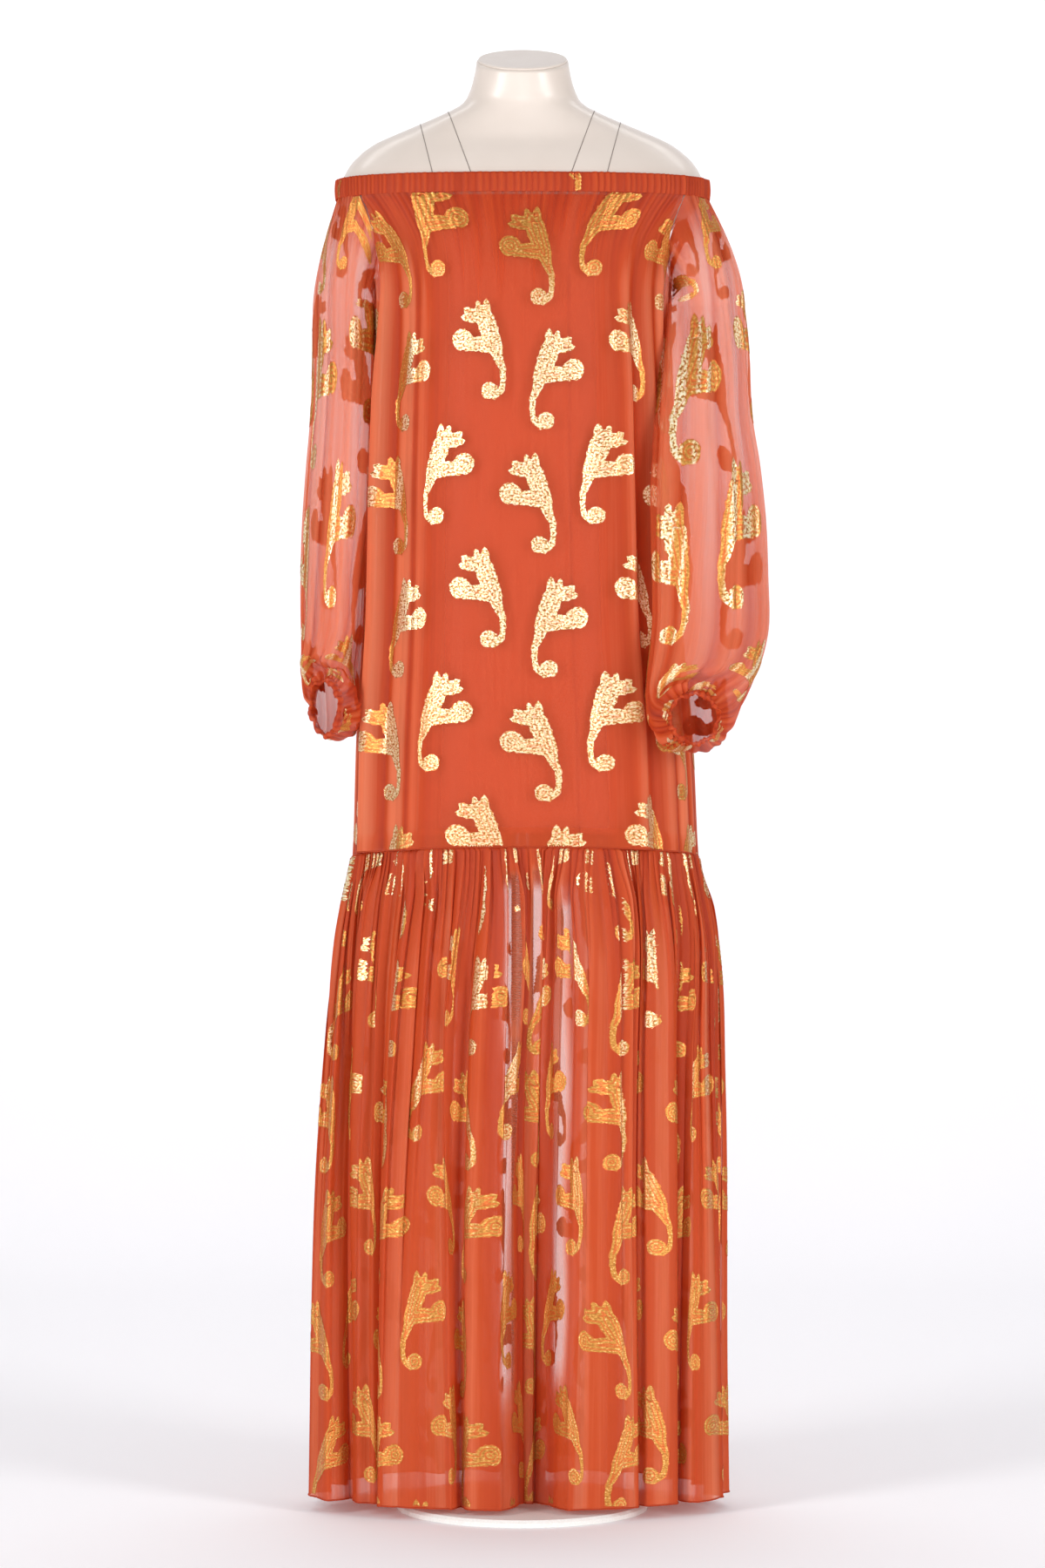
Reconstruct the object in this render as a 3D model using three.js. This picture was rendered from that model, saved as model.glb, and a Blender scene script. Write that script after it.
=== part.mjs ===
// Off-shoulder maxi dress on a limbless dress form: an elastic neckline band, a loose lined bodice, full sleeves
// gathered into elastic cuffs, and a gathered skirt tier that hangs to just above the form's round foot.
// Millimetres, +Z up. The front faces -Y, the wearer's left is +X, and the origin is the centre of the foot's underside.
import * as THREE from "three";
import { mergeVertices } from "three/addons/utils/BufferGeometryUtils.js";

// Cloth, seams and the heights that the pieces are cut to
const clothThickness = 1.4;
const liningThickness = 1.1;
const seamGap = 0.3;
const necklineTop = 1496;
const bandHeight = 22;
const bandThickness = 2.8;
const bandRipple = 0.8;
const bandStandOut = { side: 1.4, depth: 0.8 };
const underarmHeight = 1380;
const dropSeam = { side: 735, tilt: 14 };
const hem = { side: 17, tilt: 2 };
const liningHemAboveSeam = 15;
const liningSeat = { below: 2, ease: 2.4, hangingEase: 7, settle: 110 };

// Turns are degrees round the body: 0 is the front, 90 the +X side, 180 the back
const armholeTurn = 36;
const armholeCurve = 2.2;
const halfTurn = 180;
const quarterTurn = 90;
const sideSeamGapTurn = 0.12;

// Plan outlines of the bodice: half its width, how far it stands in front of and behind the side seams, and how
// far its middle sways to +X
const bodiceSections = [
  { z: 1474, halfWidth: 208, front: 96.5, back: 94.5, squareness: 2.5, sway: 0 },
  { z: 1450, halfWidth: 190, front: 105, back: 97, squareness: 2.4, sway: 0 },
  { z: 1420, halfWidth: 174, front: 115, back: 98, squareness: 2.25, sway: 0 },
  { z: 1380, halfWidth: 166, front: 124, back: 100, squareness: 2.15, sway: 0 },
  { z: 1340, halfWidth: 165, front: 128, back: 102, squareness: 2.1, sway: 0 },
  { z: 1290, halfWidth: 166, front: 129, back: 104, squareness: 2.1, sway: 0 },
  { z: 1150, halfWidth: 171, front: 127, back: 110, squareness: 2.1, sway: 0 },
  { z: 1000, halfWidth: 176, front: 125, back: 114, squareness: 2.1, sway: 1 },
  { z: 862, halfWidth: 187, front: 122, back: 117, squareness: 2.1, sway: 3 },
  { z: 720, halfWidth: 194, front: 117, back: 118, squareness: 2.1, sway: 4 },
];

// Plan outlines of the skirt in the valleys between its folds
const skirtSections = [
  { z: 760, halfWidth: 192, front: 117, back: 118, squareness: 2.1, sway: 4 },
  { z: 720, halfWidth: 195, front: 116, back: 119, squareness: 2.1, sway: 4 },
  { z: 640, halfWidth: 205, front: 110, back: 122, squareness: 2.05, sway: 4 },
  { z: 520, halfWidth: 209, front: 102, back: 125, squareness: 2, sway: 0 },
  { z: 370, halfWidth: 212, front: 95, back: 126, squareness: 2, sway: -3 },
  { z: 200, halfWidth: 212, front: 90, back: 126, squareness: 2, sway: -4 },
  { z: 10, halfWidth: 210, front: 86, back: 126, squareness: 2, sway: -4 },
];

// Long soft folds of the bodice, each standing out by rise where it is fullest
const bodiceFolds = [
  { turn: -62, halfSpan: 9, rise: 6 },
  { turn: -43, halfSpan: 8, rise: 5 },
  { turn: 38, halfSpan: 10, rise: 5 },
  { turn: 56, halfSpan: 7, rise: 3 },
  { turn: 112, halfSpan: 10, rise: 5 },
  { turn: 141, halfSpan: 9, rise: 6 },
  { turn: 172, halfSpan: 11, rise: 4 },
  { turn: 207, halfSpan: 10, rise: 6 },
  { turn: 238, halfSpan: 9, rise: 5 },
];

// Folds of the skirt at its hem. A flat top makes a broad fold, and a negative rise is drawn in
const skirtFolds = [
  { turn: -77, halfSpan: 13, rise: 26, flat: 0.35 },
  { turn: -52, halfSpan: 8, rise: 15, flat: 0.1 },
  { turn: -31, halfSpan: 15, rise: 25, flat: 0.55 },
  { turn: -10, halfSpan: 7.5, rise: 24, flat: 0.3 },
  { turn: 3.5, halfSpan: 9.5, rise: -34, flat: 0.35 },
  { turn: 4, halfSpan: 4.5, rise: 14, flat: 0.1 },
  { turn: 24.5, halfSpan: 13.5, rise: 27, flat: 0.55 },
  { turn: 46, halfSpan: 8.5, rise: 22, flat: 0.3 },
  { turn: 69, halfSpan: 12, rise: 26, flat: 0.4 },
  { turn: 97, halfSpan: 12, rise: 23, flat: 0.3 },
  { turn: 120, halfSpan: 9, rise: 22, flat: 0.3 },
  { turn: 140, halfSpan: 8.5, rise: 24, flat: 0.35 },
  { turn: 160, halfSpan: 9, rise: 20, flat: 0.3 },
  { turn: 178, halfSpan: 8, rise: 25, flat: 0.35 },
  { turn: 197, halfSpan: 8.5, rise: 21, flat: 0.3 },
  { turn: 217, halfSpan: 9.5, rise: 25, flat: 0.4 },
  { turn: 239, halfSpan: 9.5, rise: 21, flat: 0.3 },
  { turn: 259, halfSpan: 8, rise: 22, flat: 0.3 },
];
const bodiceFoldStart = { none: 60, full: 260 };
const skirtFoldGrowth = 0.75;
const skirtGather = { rise: 2.6, fadeLength: 170 };
const bodiceGather = { rise: 1.6, fadeLength: 120 };

// The hanging sleeves. Each row is one ring of the tube: its middle, its half sizes across (side) and through (back),
// the turn of its side axis, and how far it tips until its mouth looks forward
const sleeveRings = {
  sleeve_left: [
    { x: 210, y: -20, z: 1350, side: 38, back: 42, turn: 14, tip: 0 },
    { x: 208, y: -42, z: 1290, side: 46, back: 37, turn: 26, tip: 0 },
    { x: 206, y: -54, z: 1230, side: 53, back: 36, turn: 32, tip: 0 },
    { x: 209, y: -65, z: 1170, side: 61, back: 37, turn: 32, tip: 0 },
    { x: 210, y: -74, z: 1110, side: 66, back: 39, turn: 30, tip: 0 },
    { x: 209, y: -80, z: 1050, side: 68, back: 41, turn: 27, tip: 0 },
    { x: 208, y: -89, z: 995, side: 68, back: 43, turn: 24, tip: 0 },
    { x: 201, y: -99, z: 952, side: 63, back: 45, turn: 20, tip: 8 },
    { x: 193, y: -107, z: 920, side: 56, back: 47, turn: 15, tip: 30 },
    { x: 189, y: -114, z: 902, side: 49, back: 46, turn: 11, tip: 54 },
    { x: 188, y: -122, z: 894, side: 43, back: 41, turn: 8, tip: 74 },
    { x: 188, y: -132, z: 891, side: 33, back: 33, turn: 6, tip: 84 },
    { x: 188, y: -141, z: 891, side: 27, back: 28, turn: 5, tip: 88 },
  ],
  sleeve_right: [
    { x: -203, y: -4, z: 1350, side: 31, back: 45, turn: 0, tip: 0 },
    { x: -203, y: -8, z: 1290, side: 31, back: 48, turn: 0, tip: 0 },
    { x: -205, y: -12, z: 1230, side: 31, back: 51, turn: 0, tip: 0 },
    { x: -208, y: -15, z: 1170, side: 33, back: 54, turn: 0, tip: 0 },
    { x: -211, y: -17, z: 1110, side: 34, back: 56, turn: 0, tip: 0 },
    { x: -213, y: -18, z: 1050, side: 34, back: 57, turn: -2, tip: 0 },
    { x: -213, y: -19, z: 1000, side: 34, back: 57, turn: -5, tip: 0 },
    { x: -215, y: -22, z: 960, side: 30, back: 56, turn: -9, tip: 8 },
    { x: -215, y: -28, z: 934, side: 29, back: 53, turn: -16, tip: 28 },
    { x: -213, y: -37, z: 916, side: 29, back: 48, turn: -24, tip: 52 },
    { x: -211, y: -48, z: 909, side: 31, back: 42, turn: -32, tip: 72 },
    { x: -213, y: -58, z: 905, side: 26, back: 36, turn: -37, tip: 84 },
    { x: -216, y: -66, z: 903, side: 21, back: 32, turn: -40, tip: 88 },
  ],
};
const sleeveTopSpan = 110;
const sleeveJoinOut = 1.9;
const sleeveJoinPower = 6;
const sleeveFolds = { count: 5, rise: 3.2, startHeight: 1330, fadeLength: 160 };
const cuffGather = { rise: 1.8, rings: 3.2 };
const cuff = { depth: 9, thickness: 2.6, ripple: 0.6, standOut: 0.6 };

// Mesh counts: two columns make one gather, and crowding above 1 sets rows closer towards the top
const columns = { skirtPanel: 68, bodicePanel: 32, sleeve: 24, band: 76, cuff: 24, lining: 38, form: 30 };
const rows = { skirt: 8, bodice: 8, sleeveTop: 4, lining: 7 };
const crowding = { bodice: 1.8, skirt: 1.45 };

// The dress form: plan outlines from its foot end up to the neck, with the neck leaning forward by shift
const formSections = [
  { z: 826, halfWidth: 138, front: 83, back: 86, squareness: 2.2, shift: 0, lean: 0 },
  { z: 838, halfWidth: 152, front: 91, back: 94, squareness: 2.2, shift: 0, lean: 0 },
  { z: 900, halfWidth: 161, front: 95, back: 99, squareness: 2.2, shift: 0, lean: 0 },
  { z: 965, halfWidth: 157, front: 96, back: 98, squareness: 2.2, shift: 0, lean: 0 },
  { z: 1050, halfWidth: 142, front: 94, back: 94, squareness: 2.1, shift: 0, lean: 0 },
  { z: 1150, halfWidth: 116, front: 86, back: 80, squareness: 2.1, shift: 0, lean: 0 },
  { z: 1230, halfWidth: 120, front: 92, back: 80, squareness: 2.1, shift: 0, lean: 0 },
  { z: 1300, halfWidth: 132, front: 106, back: 82, squareness: 2.2, shift: 0, lean: 0 },
  { z: 1360, halfWidth: 138, front: 110, back: 84, squareness: 2.2, shift: 0, lean: 0 },
  { z: 1410, halfWidth: 143, front: 98, back: 83, squareness: 2.2, shift: 0, lean: 0 },
  { z: 1440, halfWidth: 160, front: 91, back: 84, squareness: 2.2, shift: 0, lean: 0 },
  { z: 1460, halfWidth: 192, front: 89, back: 86.5, squareness: 2.2, shift: 0, lean: 0 },
  { z: 1474, halfWidth: 204, front: 90, back: 88, squareness: 2.3, shift: 0, lean: 0 },
  { z: 1486, halfWidth: 206.2, front: 93.5, back: 91.5, squareness: 2.4, shift: 0, lean: 0 },
  { z: 1498, halfWidth: 203, front: 92.5, back: 90.5, squareness: 2.4, shift: 0, lean: 0 },
  { z: 1518, halfWidth: 191, front: 82, back: 82, squareness: 2.2, shift: 1, lean: 0 },
  { z: 1537, halfWidth: 168, front: 70, back: 70, squareness: 2.1, shift: 2, lean: 0 },
  { z: 1551, halfWidth: 137, front: 64, back: 66, squareness: 2, shift: 1, lean: 0 },
  { z: 1568, halfWidth: 96, front: 57, back: 61, squareness: 2, shift: -2, lean: 0 },
  { z: 1581, halfWidth: 70, front: 52, back: 56, squareness: 2, shift: -6, lean: 2 },
  { z: 1596, halfWidth: 60, front: 50, back: 51, squareness: 2, shift: -9, lean: 8 },
  { z: 1613, halfWidth: 55, front: 49, back: 49, squareness: 2, shift: -12, lean: 14 },
  { z: 1629, halfWidth: 52, front: 49, back: 49, squareness: 2, shift: -14, lean: 20 },
];
const neckCap = { thickness: 3, scale: 0.97 };
const poleRadius = 12.5;
const foot = { radius: 142, thickness: 8, rimBevel: 3, socketRadius: 26, socketHeight: 46, socketBevel: 4 };
const roundSegments = 40;
const poleSegments = 20;

const chiffonFinish = { color: 0xd6532f, roughness: 0.6, metalness: 0 };
const liningFinish = { color: 0xcf4f2c, roughness: 0.7, metalness: 0 };
const formFinish = { color: 0xe9e2d8, roughness: 0.25, metalness: 0 };
const steelFinish = { color: 0xb9bbbd, roughness: 0.3, metalness: 1 };
const footFinish = { color: 0xeceae6, roughness: 0.4, metalness: 0 };

const radians = THREE.MathUtils.degToRad;

// 0 below the start, 1 past the end, with a smooth rise between
function rampUp(value, start, end) {
  return THREE.MathUtils.smoothstep(value, start, end);
}

// One column of a table whose rows run along a key, as a smooth curve through its rows
function tableValue(table, along, key, where) {
  const rising = table[0][along] < table[table.length - 1][along];
  const list = rising ? table : [...table].reverse();
  const last = list.length - 1;
  const place = Math.min(Math.max(where, list[0][along]), list[last][along]);
  let i = 0;
  while (i < last - 1 && place > list[i + 1][along]) i += 1;
  const slope = (k) => {
    const low = list[Math.max(k - 1, 0)];
    const high = list[Math.min(k + 1, last)];
    return (high[key] - low[key]) / (high[along] - low[along]);
  };
  const step = list[i + 1][along] - list[i][along];
  const t = (place - list[i][along]) / step;
  const startWeight = 2 * t ** 3 - 3 * t ** 2 + 1;
  const endWeight = -2 * t ** 3 + 3 * t ** 2;
  const startSlope = (t ** 3 - 2 * t ** 2 + t) * step * slope(i);
  const endSlope = (t ** 3 - t ** 2) * step * slope(i + 1);
  return startWeight * list[i][key] + startSlope + endWeight * list[i + 1][key] + endSlope;
}

// The row of a table of plan outlines at one height
function sectionAt(table, z) {
  return Object.fromEntries(Object.keys(table[0]).map((key) => [key, tableValue(table, "z", key, z)]));
}

// A point of a rounded plan outline, where a squareness of 2 is an ellipse and more is fuller at the corners
function planPoint(section, turn) {
  const across = Math.sin(radians(turn));
  const ahead = Math.cos(radians(turn));
  const power = section.squareness;
  const fullness = (Math.abs(across) ** power + Math.abs(ahead) ** power) ** (-1 / power);
  const depth = ahead > 0 ? section.front : section.back;
  const sway = section.sway ?? 0;
  return new THREE.Vector2(section.halfWidth * fullness * across + sway, -depth * fullness * ahead);
}

// How far a turn lies from another, the short way round
function turnBetween(turn, other) {
  const apart = (((turn - other + halfTurn) % (2 * halfTurn)) + 2 * halfTurn) % (2 * halfTurn);
  return apart - halfTurn;
}

// Height of one fold at a turn: level over its flat share, then falling away smoothly on both sides
function foldHeight(fold, turn) {
  const off = Math.abs(turnBetween(turn, fold.turn)) / fold.halfSpan;
  const flat = fold.flat ?? 0;
  return fold.rise * (1 - rampUp(off, flat, 1));
}

function foldsAt(folds, turn) {
  return folds.reduce((sum, fold) => sum + foldHeight(fold, turn), 0);
}

// Plan outline at a height, moved out along its own normal by the folds there
function foldedPoint(table, turn, z, foldRise) {
  const section = sectionAt(table, z);
  const spot = planPoint(section, turn);
  const step = 0.5;
  const along = planPoint(section, turn + step).sub(planPoint(section, turn - step)).normalize();
  const rise = foldRise(turn, z);
  return new THREE.Vector3(spot.x + along.y * rise, spot.y - along.x * rise, z);
}

function dropSeamHeight(turn) {
  return dropSeam.side + dropSeam.tilt * Math.cos(radians(turn));
}

function hemHeight(turn) {
  return hem.side - hem.tilt * Math.cos(radians(turn));
}

// The armhole edge climbs from the underarm at the side seam to the neckline band at armholeTurn from it
function bodiceTop(turn) {
  const fromSide = Math.abs(quarterTurn - Math.abs(turnBetween(turn, 0)));
  const bandBottom = necklineTop - bandHeight - seamGap / 2;
  const climb = Math.min(fromSide / armholeTurn, 1) ** armholeCurve;
  return underarmHeight + (bandBottom - underarmHeight) * climb;
}

// Folds of the bodice fade in below the neckline and stay to the drop seam
function bodiceRise(turn, z) {
  return foldsAt(bodiceFolds, turn) * rampUp(necklineTop - z, bodiceFoldStart.none, bodiceFoldStart.full);
}

// Folds of the skirt grow from nothing at the drop seam to their full rise at the hem
function skirtRise(turn, z) {
  const fall = (dropSeamHeight(turn) - z) / (dropSeamHeight(turn) - hemHeight(turn));
  return foldsAt(skirtFolds, turn) * Math.max(fall, 0) ** skirtFoldGrowth;
}

const upAxis = new THREE.Vector3(0, 0, 1);
const levelEdge = () => ({ axis: upAxis, share: 1 });

// A closed wall over a grid of points. surface(u, v) is its outer face, with v running down. ripple(column, v, u)
// moves both faces in and out, or the outer face alone where the inside is plain. edge(v) gives the axis of a seam
// nearby and how far the wall there is measured square to that axis rather than to its own face, so seams stay flat
function clothWall({ columns: across, rows: down, surface, ripple, edge, thickness, ring = false, plainInside = false }) {
  const points = [];
  const stepU = 0.25 / across;
  const stepV = 0.01;
  const loop = 2 * (down + 1);
  const count = ring ? across : across + 1;
  for (let i = 0; i < count; i += 1) {
    const u = i / across;
    const outer = [];
    const inner = [];
    for (let j = 0; j <= down; j += 1) {
      const v = j / down;
      const spot = surface(u, v);
      const alongU = surface(u + stepU, v).sub(surface(u - stepU, v));
      const nextV = Math.min(v + stepV, 1);
      const alongV = surface(u, nextV).sub(surface(u, nextV - stepV));
      const out = alongV.cross(alongU).normalize();
      if (edge) {
        const { axis, share } = edge(v);
        out.addScaledVector(axis, -share * out.dot(axis)).normalize();
      }
      const move = ripple ? ripple(i, v, u) : 0;
      outer.push(spot.clone().addScaledVector(out, move));
      inner.push(spot.clone().addScaledVector(out, (plainInside ? 0 : move) - thickness));
    }
    points.push(...outer, ...inner.reverse());
  }
  const index = [];
  const at = (i, k) => (i % count) * loop + (k % loop);
  const quad = (a, b, c, d) => index.push(a, b, c, a, c, d);
  for (let i = 0; i < across; i += 1) {
    for (let k = 0; k < loop; k += 1) quad(at(i, k), at(i, k + 1), at(i + 1, k + 1), at(i + 1, k));
  }
  if (!ring) {
    for (let j = 0; j < down; j += 1) {
      const inside = loop - 1 - j;
      quad(at(0, j + 1), at(0, j), at(0, inside), at(0, inside - 1));
      quad(at(across, j), at(across, j + 1), at(across, inside - 1), at(across, inside));
    }
  }
  return solidFrom(points, index);
}

function solidFrom(points, index) {
  const geometry = new THREE.BufferGeometry();
  geometry.setAttribute("position", new THREE.Float32BufferAttribute(points.flatMap((p) => p.toArray()), 3));
  geometry.setIndex(index);
  geometry.computeVertexNormals();
  return geometry;
}

// A solid through a stack of rings, closed by a flat face at each end. The rings run upwards
function stackedSolid(rings) {
  const count = rings[0].length;
  const points = rings.flat();
  const index = [];
  for (let j = 0; j < rings.length - 1; j += 1) {
    for (let i = 0; i < count; i += 1) {
      const next = (i + 1) % count;
      const low = j * count;
      const high = low + count;
      index.push(low + i, low + next, high + next, low + i, high + next, high + i);
    }
  }
  const middle = (ring) => ring.reduce((sum, p) => sum.add(p), new THREE.Vector3()).divideScalar(count);
  const bottom = points.push(middle(rings[0])) - 1;
  const top = points.push(middle(rings[rings.length - 1])) - 1;
  const lastRing = (rings.length - 1) * count;
  for (let i = 0; i < count; i += 1) {
    const next = (i + 1) % count;
    index.push(bottom, next, i, top, lastRing + i, lastRing + next);
  }
  return solidFrom(points, index);
}

function mesh(name, geometry, finish) {
  const made = new THREE.Mesh(geometry, new THREE.MeshStandardMaterial(finish));
  made.name = name;
  return made;
}

// A gather is a pair of columns, one out and one in, that fades with the distance from its stitching
function gatherRipple(gather, fall) {
  return (column, v, u) => {
    const fade = 1 - rampUp(fall(u, v), 0, gather.fadeLength);
    return (column % 2 === 0 ? 1 : -1) * gather.rise * fade;
  };
}

// Front and back panels: the middle turn of each, from one side seam to the other
const panels = { front: 0, back: halfTurn };

function panelTurn(middle, u) {
  const span = quarterTurn - sideSeamGapTurn;
  return middle - span + 2 * span * u;
}

function bodicePanel(middle) {
  const height = (u, v) => {
    const turn = panelTurn(middle, u);
    const bottom = dropSeamHeight(turn) + seamGap / 2;
    return bodiceTop(turn) + (bottom - bodiceTop(turn)) * v ** crowding.bodice;
  };
  const surface = (u, v) => foldedPoint(bodiceSections, panelTurn(middle, u), height(u, v), bodiceRise);
  const fall = (u, v) => necklineTop - bandHeight - height(u, v);
  return clothWall({
    columns: columns.bodicePanel,
    rows: rows.bodice,
    surface,
    ripple: gatherRipple(bodiceGather, fall),
    edge: levelEdge,
    thickness: clothThickness,
  });
}

function skirtPanel(middle) {
  const height = (u, v) => {
    const turn = panelTurn(middle, u);
    const top = dropSeamHeight(turn) - seamGap / 2;
    return top + (hemHeight(turn) - top) * v ** crowding.skirt;
  };
  const surface = (u, v) => foldedPoint(skirtSections, panelTurn(middle, u), height(u, v), skirtRise);
  const fall = (u, v) => dropSeamHeight(panelTurn(middle, u)) - height(u, v);
  return clothWall({
    columns: columns.skirtPanel,
    rows: rows.skirt,
    surface,
    ripple: gatherRipple(skirtGather, fall),
    edge: levelEdge,
    thickness: clothThickness,
  });
}

// The lining hangs inside the bodice, from under the neckline band to a little above the drop seam
function lining() {
  const { below, ease, hangingEase, settle } = liningSeat;
  const insideAt = (z) => {
    const section = sectionAt(bodiceSections, z);
    const hang = rampUp(necklineTop - bandHeight - z, 0, settle);
    const inset = clothThickness + THREE.MathUtils.lerp(ease, hangingEase, hang);
    const smaller = ["halfWidth", "front", "back"].map((key) => [key, section[key] - inset]);
    return { ...section, ...Object.fromEntries(smaller) };
  };
  const surface = (u, v) => {
    const turn = 2 * halfTurn * u;
    const top = bodiceTop(turn) - below;
    const bottom = dropSeamHeight(turn) + liningHemAboveSeam;
    const z = top + (bottom - top) * v ** crowding.bodice;
    const spot = planPoint(insideAt(z), turn);
    return new THREE.Vector3(spot.x, spot.y, z);
  };
  return clothWall({
    columns: columns.lining,
    rows: rows.lining,
    surface,
    edge: levelEdge,
    thickness: liningThickness,
    ring: true,
  });
}

// The elastic band: gathered outside, plain where it grips the form
function necklineBand() {
  const top = sectionAt(bodiceSections, bodiceSections[0].z);
  const { side, depth } = bandStandOut;
  const outline = { ...top, halfWidth: top.halfWidth + side, front: top.front + depth, back: top.back + depth };
  const surface = (u, v) => {
    const spot = planPoint(outline, 2 * halfTurn * u);
    return new THREE.Vector3(spot.x, spot.y, necklineTop - (bandHeight - seamGap / 2) * v);
  };
  const bulge = (v) => 1 - (2 * v - 1) ** 2;
  return clothWall({
    columns: columns.band,
    rows: 2,
    surface,
    ripple: (column, v) => (column % 2 === 0 ? bandRipple : -bandRipple) + bandRipple * bulge(v),
    thickness: bandThickness,
    ring: true,
    plainInside: true,
  });
}

// A point of a tipped ring of the sleeve. The angle runs from +X towards the back
function ringPoint(ring, angle) {
  const turn = radians(ring.turn);
  const tip = radians(ring.tip);
  const sideAxis = new THREE.Vector3(Math.cos(turn), Math.sin(turn), 0);
  const backAxis = new THREE.Vector3(-Math.sin(turn) * Math.cos(tip), Math.cos(turn) * Math.cos(tip), -Math.sin(tip));
  return new THREE.Vector3(ring.x, ring.y, ring.z)
    .addScaledVector(sideAxis, ring.side * Math.cos(angle))
    .addScaledVector(backAxis, ring.back * Math.sin(angle));
}

// The sleeve's top edge: along the neckline band over the shoulder, then down the armhole and up its other side.
// It lies just outside the bodice where the two are sewn together
function sleeveTopPoint(outward, angle) {
  const fromOuter = THREE.MathUtils.radToDeg(Math.acos(THREE.MathUtils.clamp(Math.cos(angle) * outward, -1, 1)));
  const toBack = Math.sin(angle) > 0 ? 1 : -1;
  const onBand = fromOuter <= sleeveTopSpan;
  const share = onBand ? fromOuter / sleeveTopSpan : (halfTurn - fromOuter) / (halfTurn - sleeveTopSpan);
  const turn = outward * (quarterTurn + toBack * armholeTurn * share);
  const z = onBand ? necklineTop - bandHeight - seamGap / 2 : bodiceTop(turn) - seamGap;
  const spot = planPoint(sectionAt(bodiceSections, z), turn);
  const shift = sleeveJoinOut * (onBand ? share ** sleeveJoinPower : 1);
  return new THREE.Vector3(spot.x + outward * shift, spot.y, z);
}

// The way that a ring's mouth looks, square to its plane
function mouthAxis(ring) {
  const turn = radians(ring.turn);
  const tip = radians(ring.tip);
  return new THREE.Vector3(Math.sin(turn) * Math.sin(tip), -Math.cos(turn) * Math.sin(tip), -Math.cos(tip));
}

function sleeve(name, outward) {
  const rings = sleeveRings[name];
  const down = rows.sleeveTop + rings.length - 1;
  const ringAt = (place) => {
    const numbered = rings.map((ring, number) => ({ ...ring, number }));
    const value = (key) => tableValue(numbered, "number", key, place);
    return Object.fromEntries(Object.keys(rings[0]).map((key) => [key, value(key)]));
  };
  const surface = (u, v) => {
    const angle = 2 * Math.PI * u;
    const place = v * down - rows.sleeveTop;
    if (place >= 0) return ringPoint(ringAt(place), angle);
    const share = 1 + place / rows.sleeveTop;
    const start = sleeveTopPoint(outward, angle);
    const end = ringPoint(rings[0], angle);
    const spread = Math.sin((share * Math.PI) / 2);
    return new THREE.Vector3(
      THREE.MathUtils.lerp(start.x, end.x, spread),
      THREE.MathUtils.lerp(start.y, end.y, spread),
      THREE.MathUtils.lerp(start.z, end.z, share),
    );
  };
  const ripple = (column, v, u) => {
    const place = v * down - rows.sleeveTop;
    const z = surface(u, v).z;
    const zigzag = column % 2 === 0 ? 1 : -1;
    const nearCuff = rampUp(place, rings.length - 1 - cuffGather.rings, rings.length - 1);
    const folds = Math.cos(sleeveFolds.count * 2 * Math.PI * u) * sleeveFolds.rise;
    const foldShare = rampUp(sleeveFolds.startHeight - z, 0, sleeveFolds.fadeLength) * (1 - nearCuff);
    return zigzag * cuffGather.rise * nearCuff + folds * foldShare;
  };
  return clothWall({
    columns: columns.sleeve,
    rows: down,
    surface,
    ripple,
    edge: (v) => {
      const place = v * down - rows.sleeveTop;
      if (place < 0) return { axis: upAxis, share: 1 - rampUp(place, -rows.sleeveTop, 0) };
      return { axis: mouthAxis(rings.at(-1)), share: rampUp(place, rings.length - 3, rings.length - 1) };
    },
    thickness: clothThickness,
    ring: true,
  });
}

// The cuff carries on from the sleeve's last ring, the way its mouth looks
function cuffBand(name) {
  const last = sleeveRings[name].at(-1);
  const ahead = mouthAxis(last);
  const outline = { ...last, side: last.side + cuff.standOut, back: last.back + cuff.standOut };
  const surface = (u, v) => ringPoint(outline, 2 * Math.PI * u).addScaledVector(ahead, seamGap + cuff.depth * v);
  return clothWall({
    columns: columns.cuff,
    rows: 2,
    surface,
    ripple: (column) => (column % 2 === 0 ? cuff.ripple : -cuff.ripple),
    thickness: cuff.thickness,
    ring: true,
    plainInside: true,
  });
}

function formRing(section, lift = 0, scale = 1) {
  const outline = {
    ...section,
    halfWidth: section.halfWidth * scale,
    front: section.front * scale,
    back: section.back * scale,
  };
  return Array.from({ length: columns.form }, (_, i) => {
    const spot = planPoint(outline, (2 * halfTurn * i) / columns.form);
    const z = section.z + lift + spot.y * Math.tan(radians(section.lean));
    return new THREE.Vector3(spot.x, spot.y + section.shift, z);
  });
}

function formTorso() {
  return stackedSolid(formSections.map((section) => formRing(section)));
}

// A thin plate that closes the neck, square to its lean
function formNeckCap() {
  const neck = formSections.at(-1);
  const lifts = [seamGap, seamGap + neckCap.thickness];
  return stackedSolid(lifts.map((lift) => formRing(neck, lift, neckCap.scale)));
}

// A round plate with a bevelled rim, and a socket that the pole stands in
function formFoot() {
  const { radius, thickness, rimBevel, socketRadius, socketHeight, socketBevel } = foot;
  const profile = [
    [0, 0],
    [radius, 0],
    [radius, thickness - rimBevel],
    [radius - rimBevel, thickness],
    [socketRadius, thickness],
    [socketRadius, socketHeight - socketBevel],
    [socketRadius - socketBevel, socketHeight],
    [poleRadius + seamGap, socketHeight],
    [poleRadius + seamGap, thickness],
    [0, thickness],
  ].map(([r, z]) => new THREE.Vector2(r, z));
  return upright(new THREE.LatheGeometry(profile, roundSegments));
}

function formPole() {
  const bottom = foot.thickness + seamGap;
  const length = formSections[0].z - seamGap - bottom;
  const pole = new THREE.CylinderGeometry(poleRadius, poleRadius, length, poleSegments);
  pole.translate(0, bottom + length / 2, 0);
  return upright(pole);
}

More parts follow.
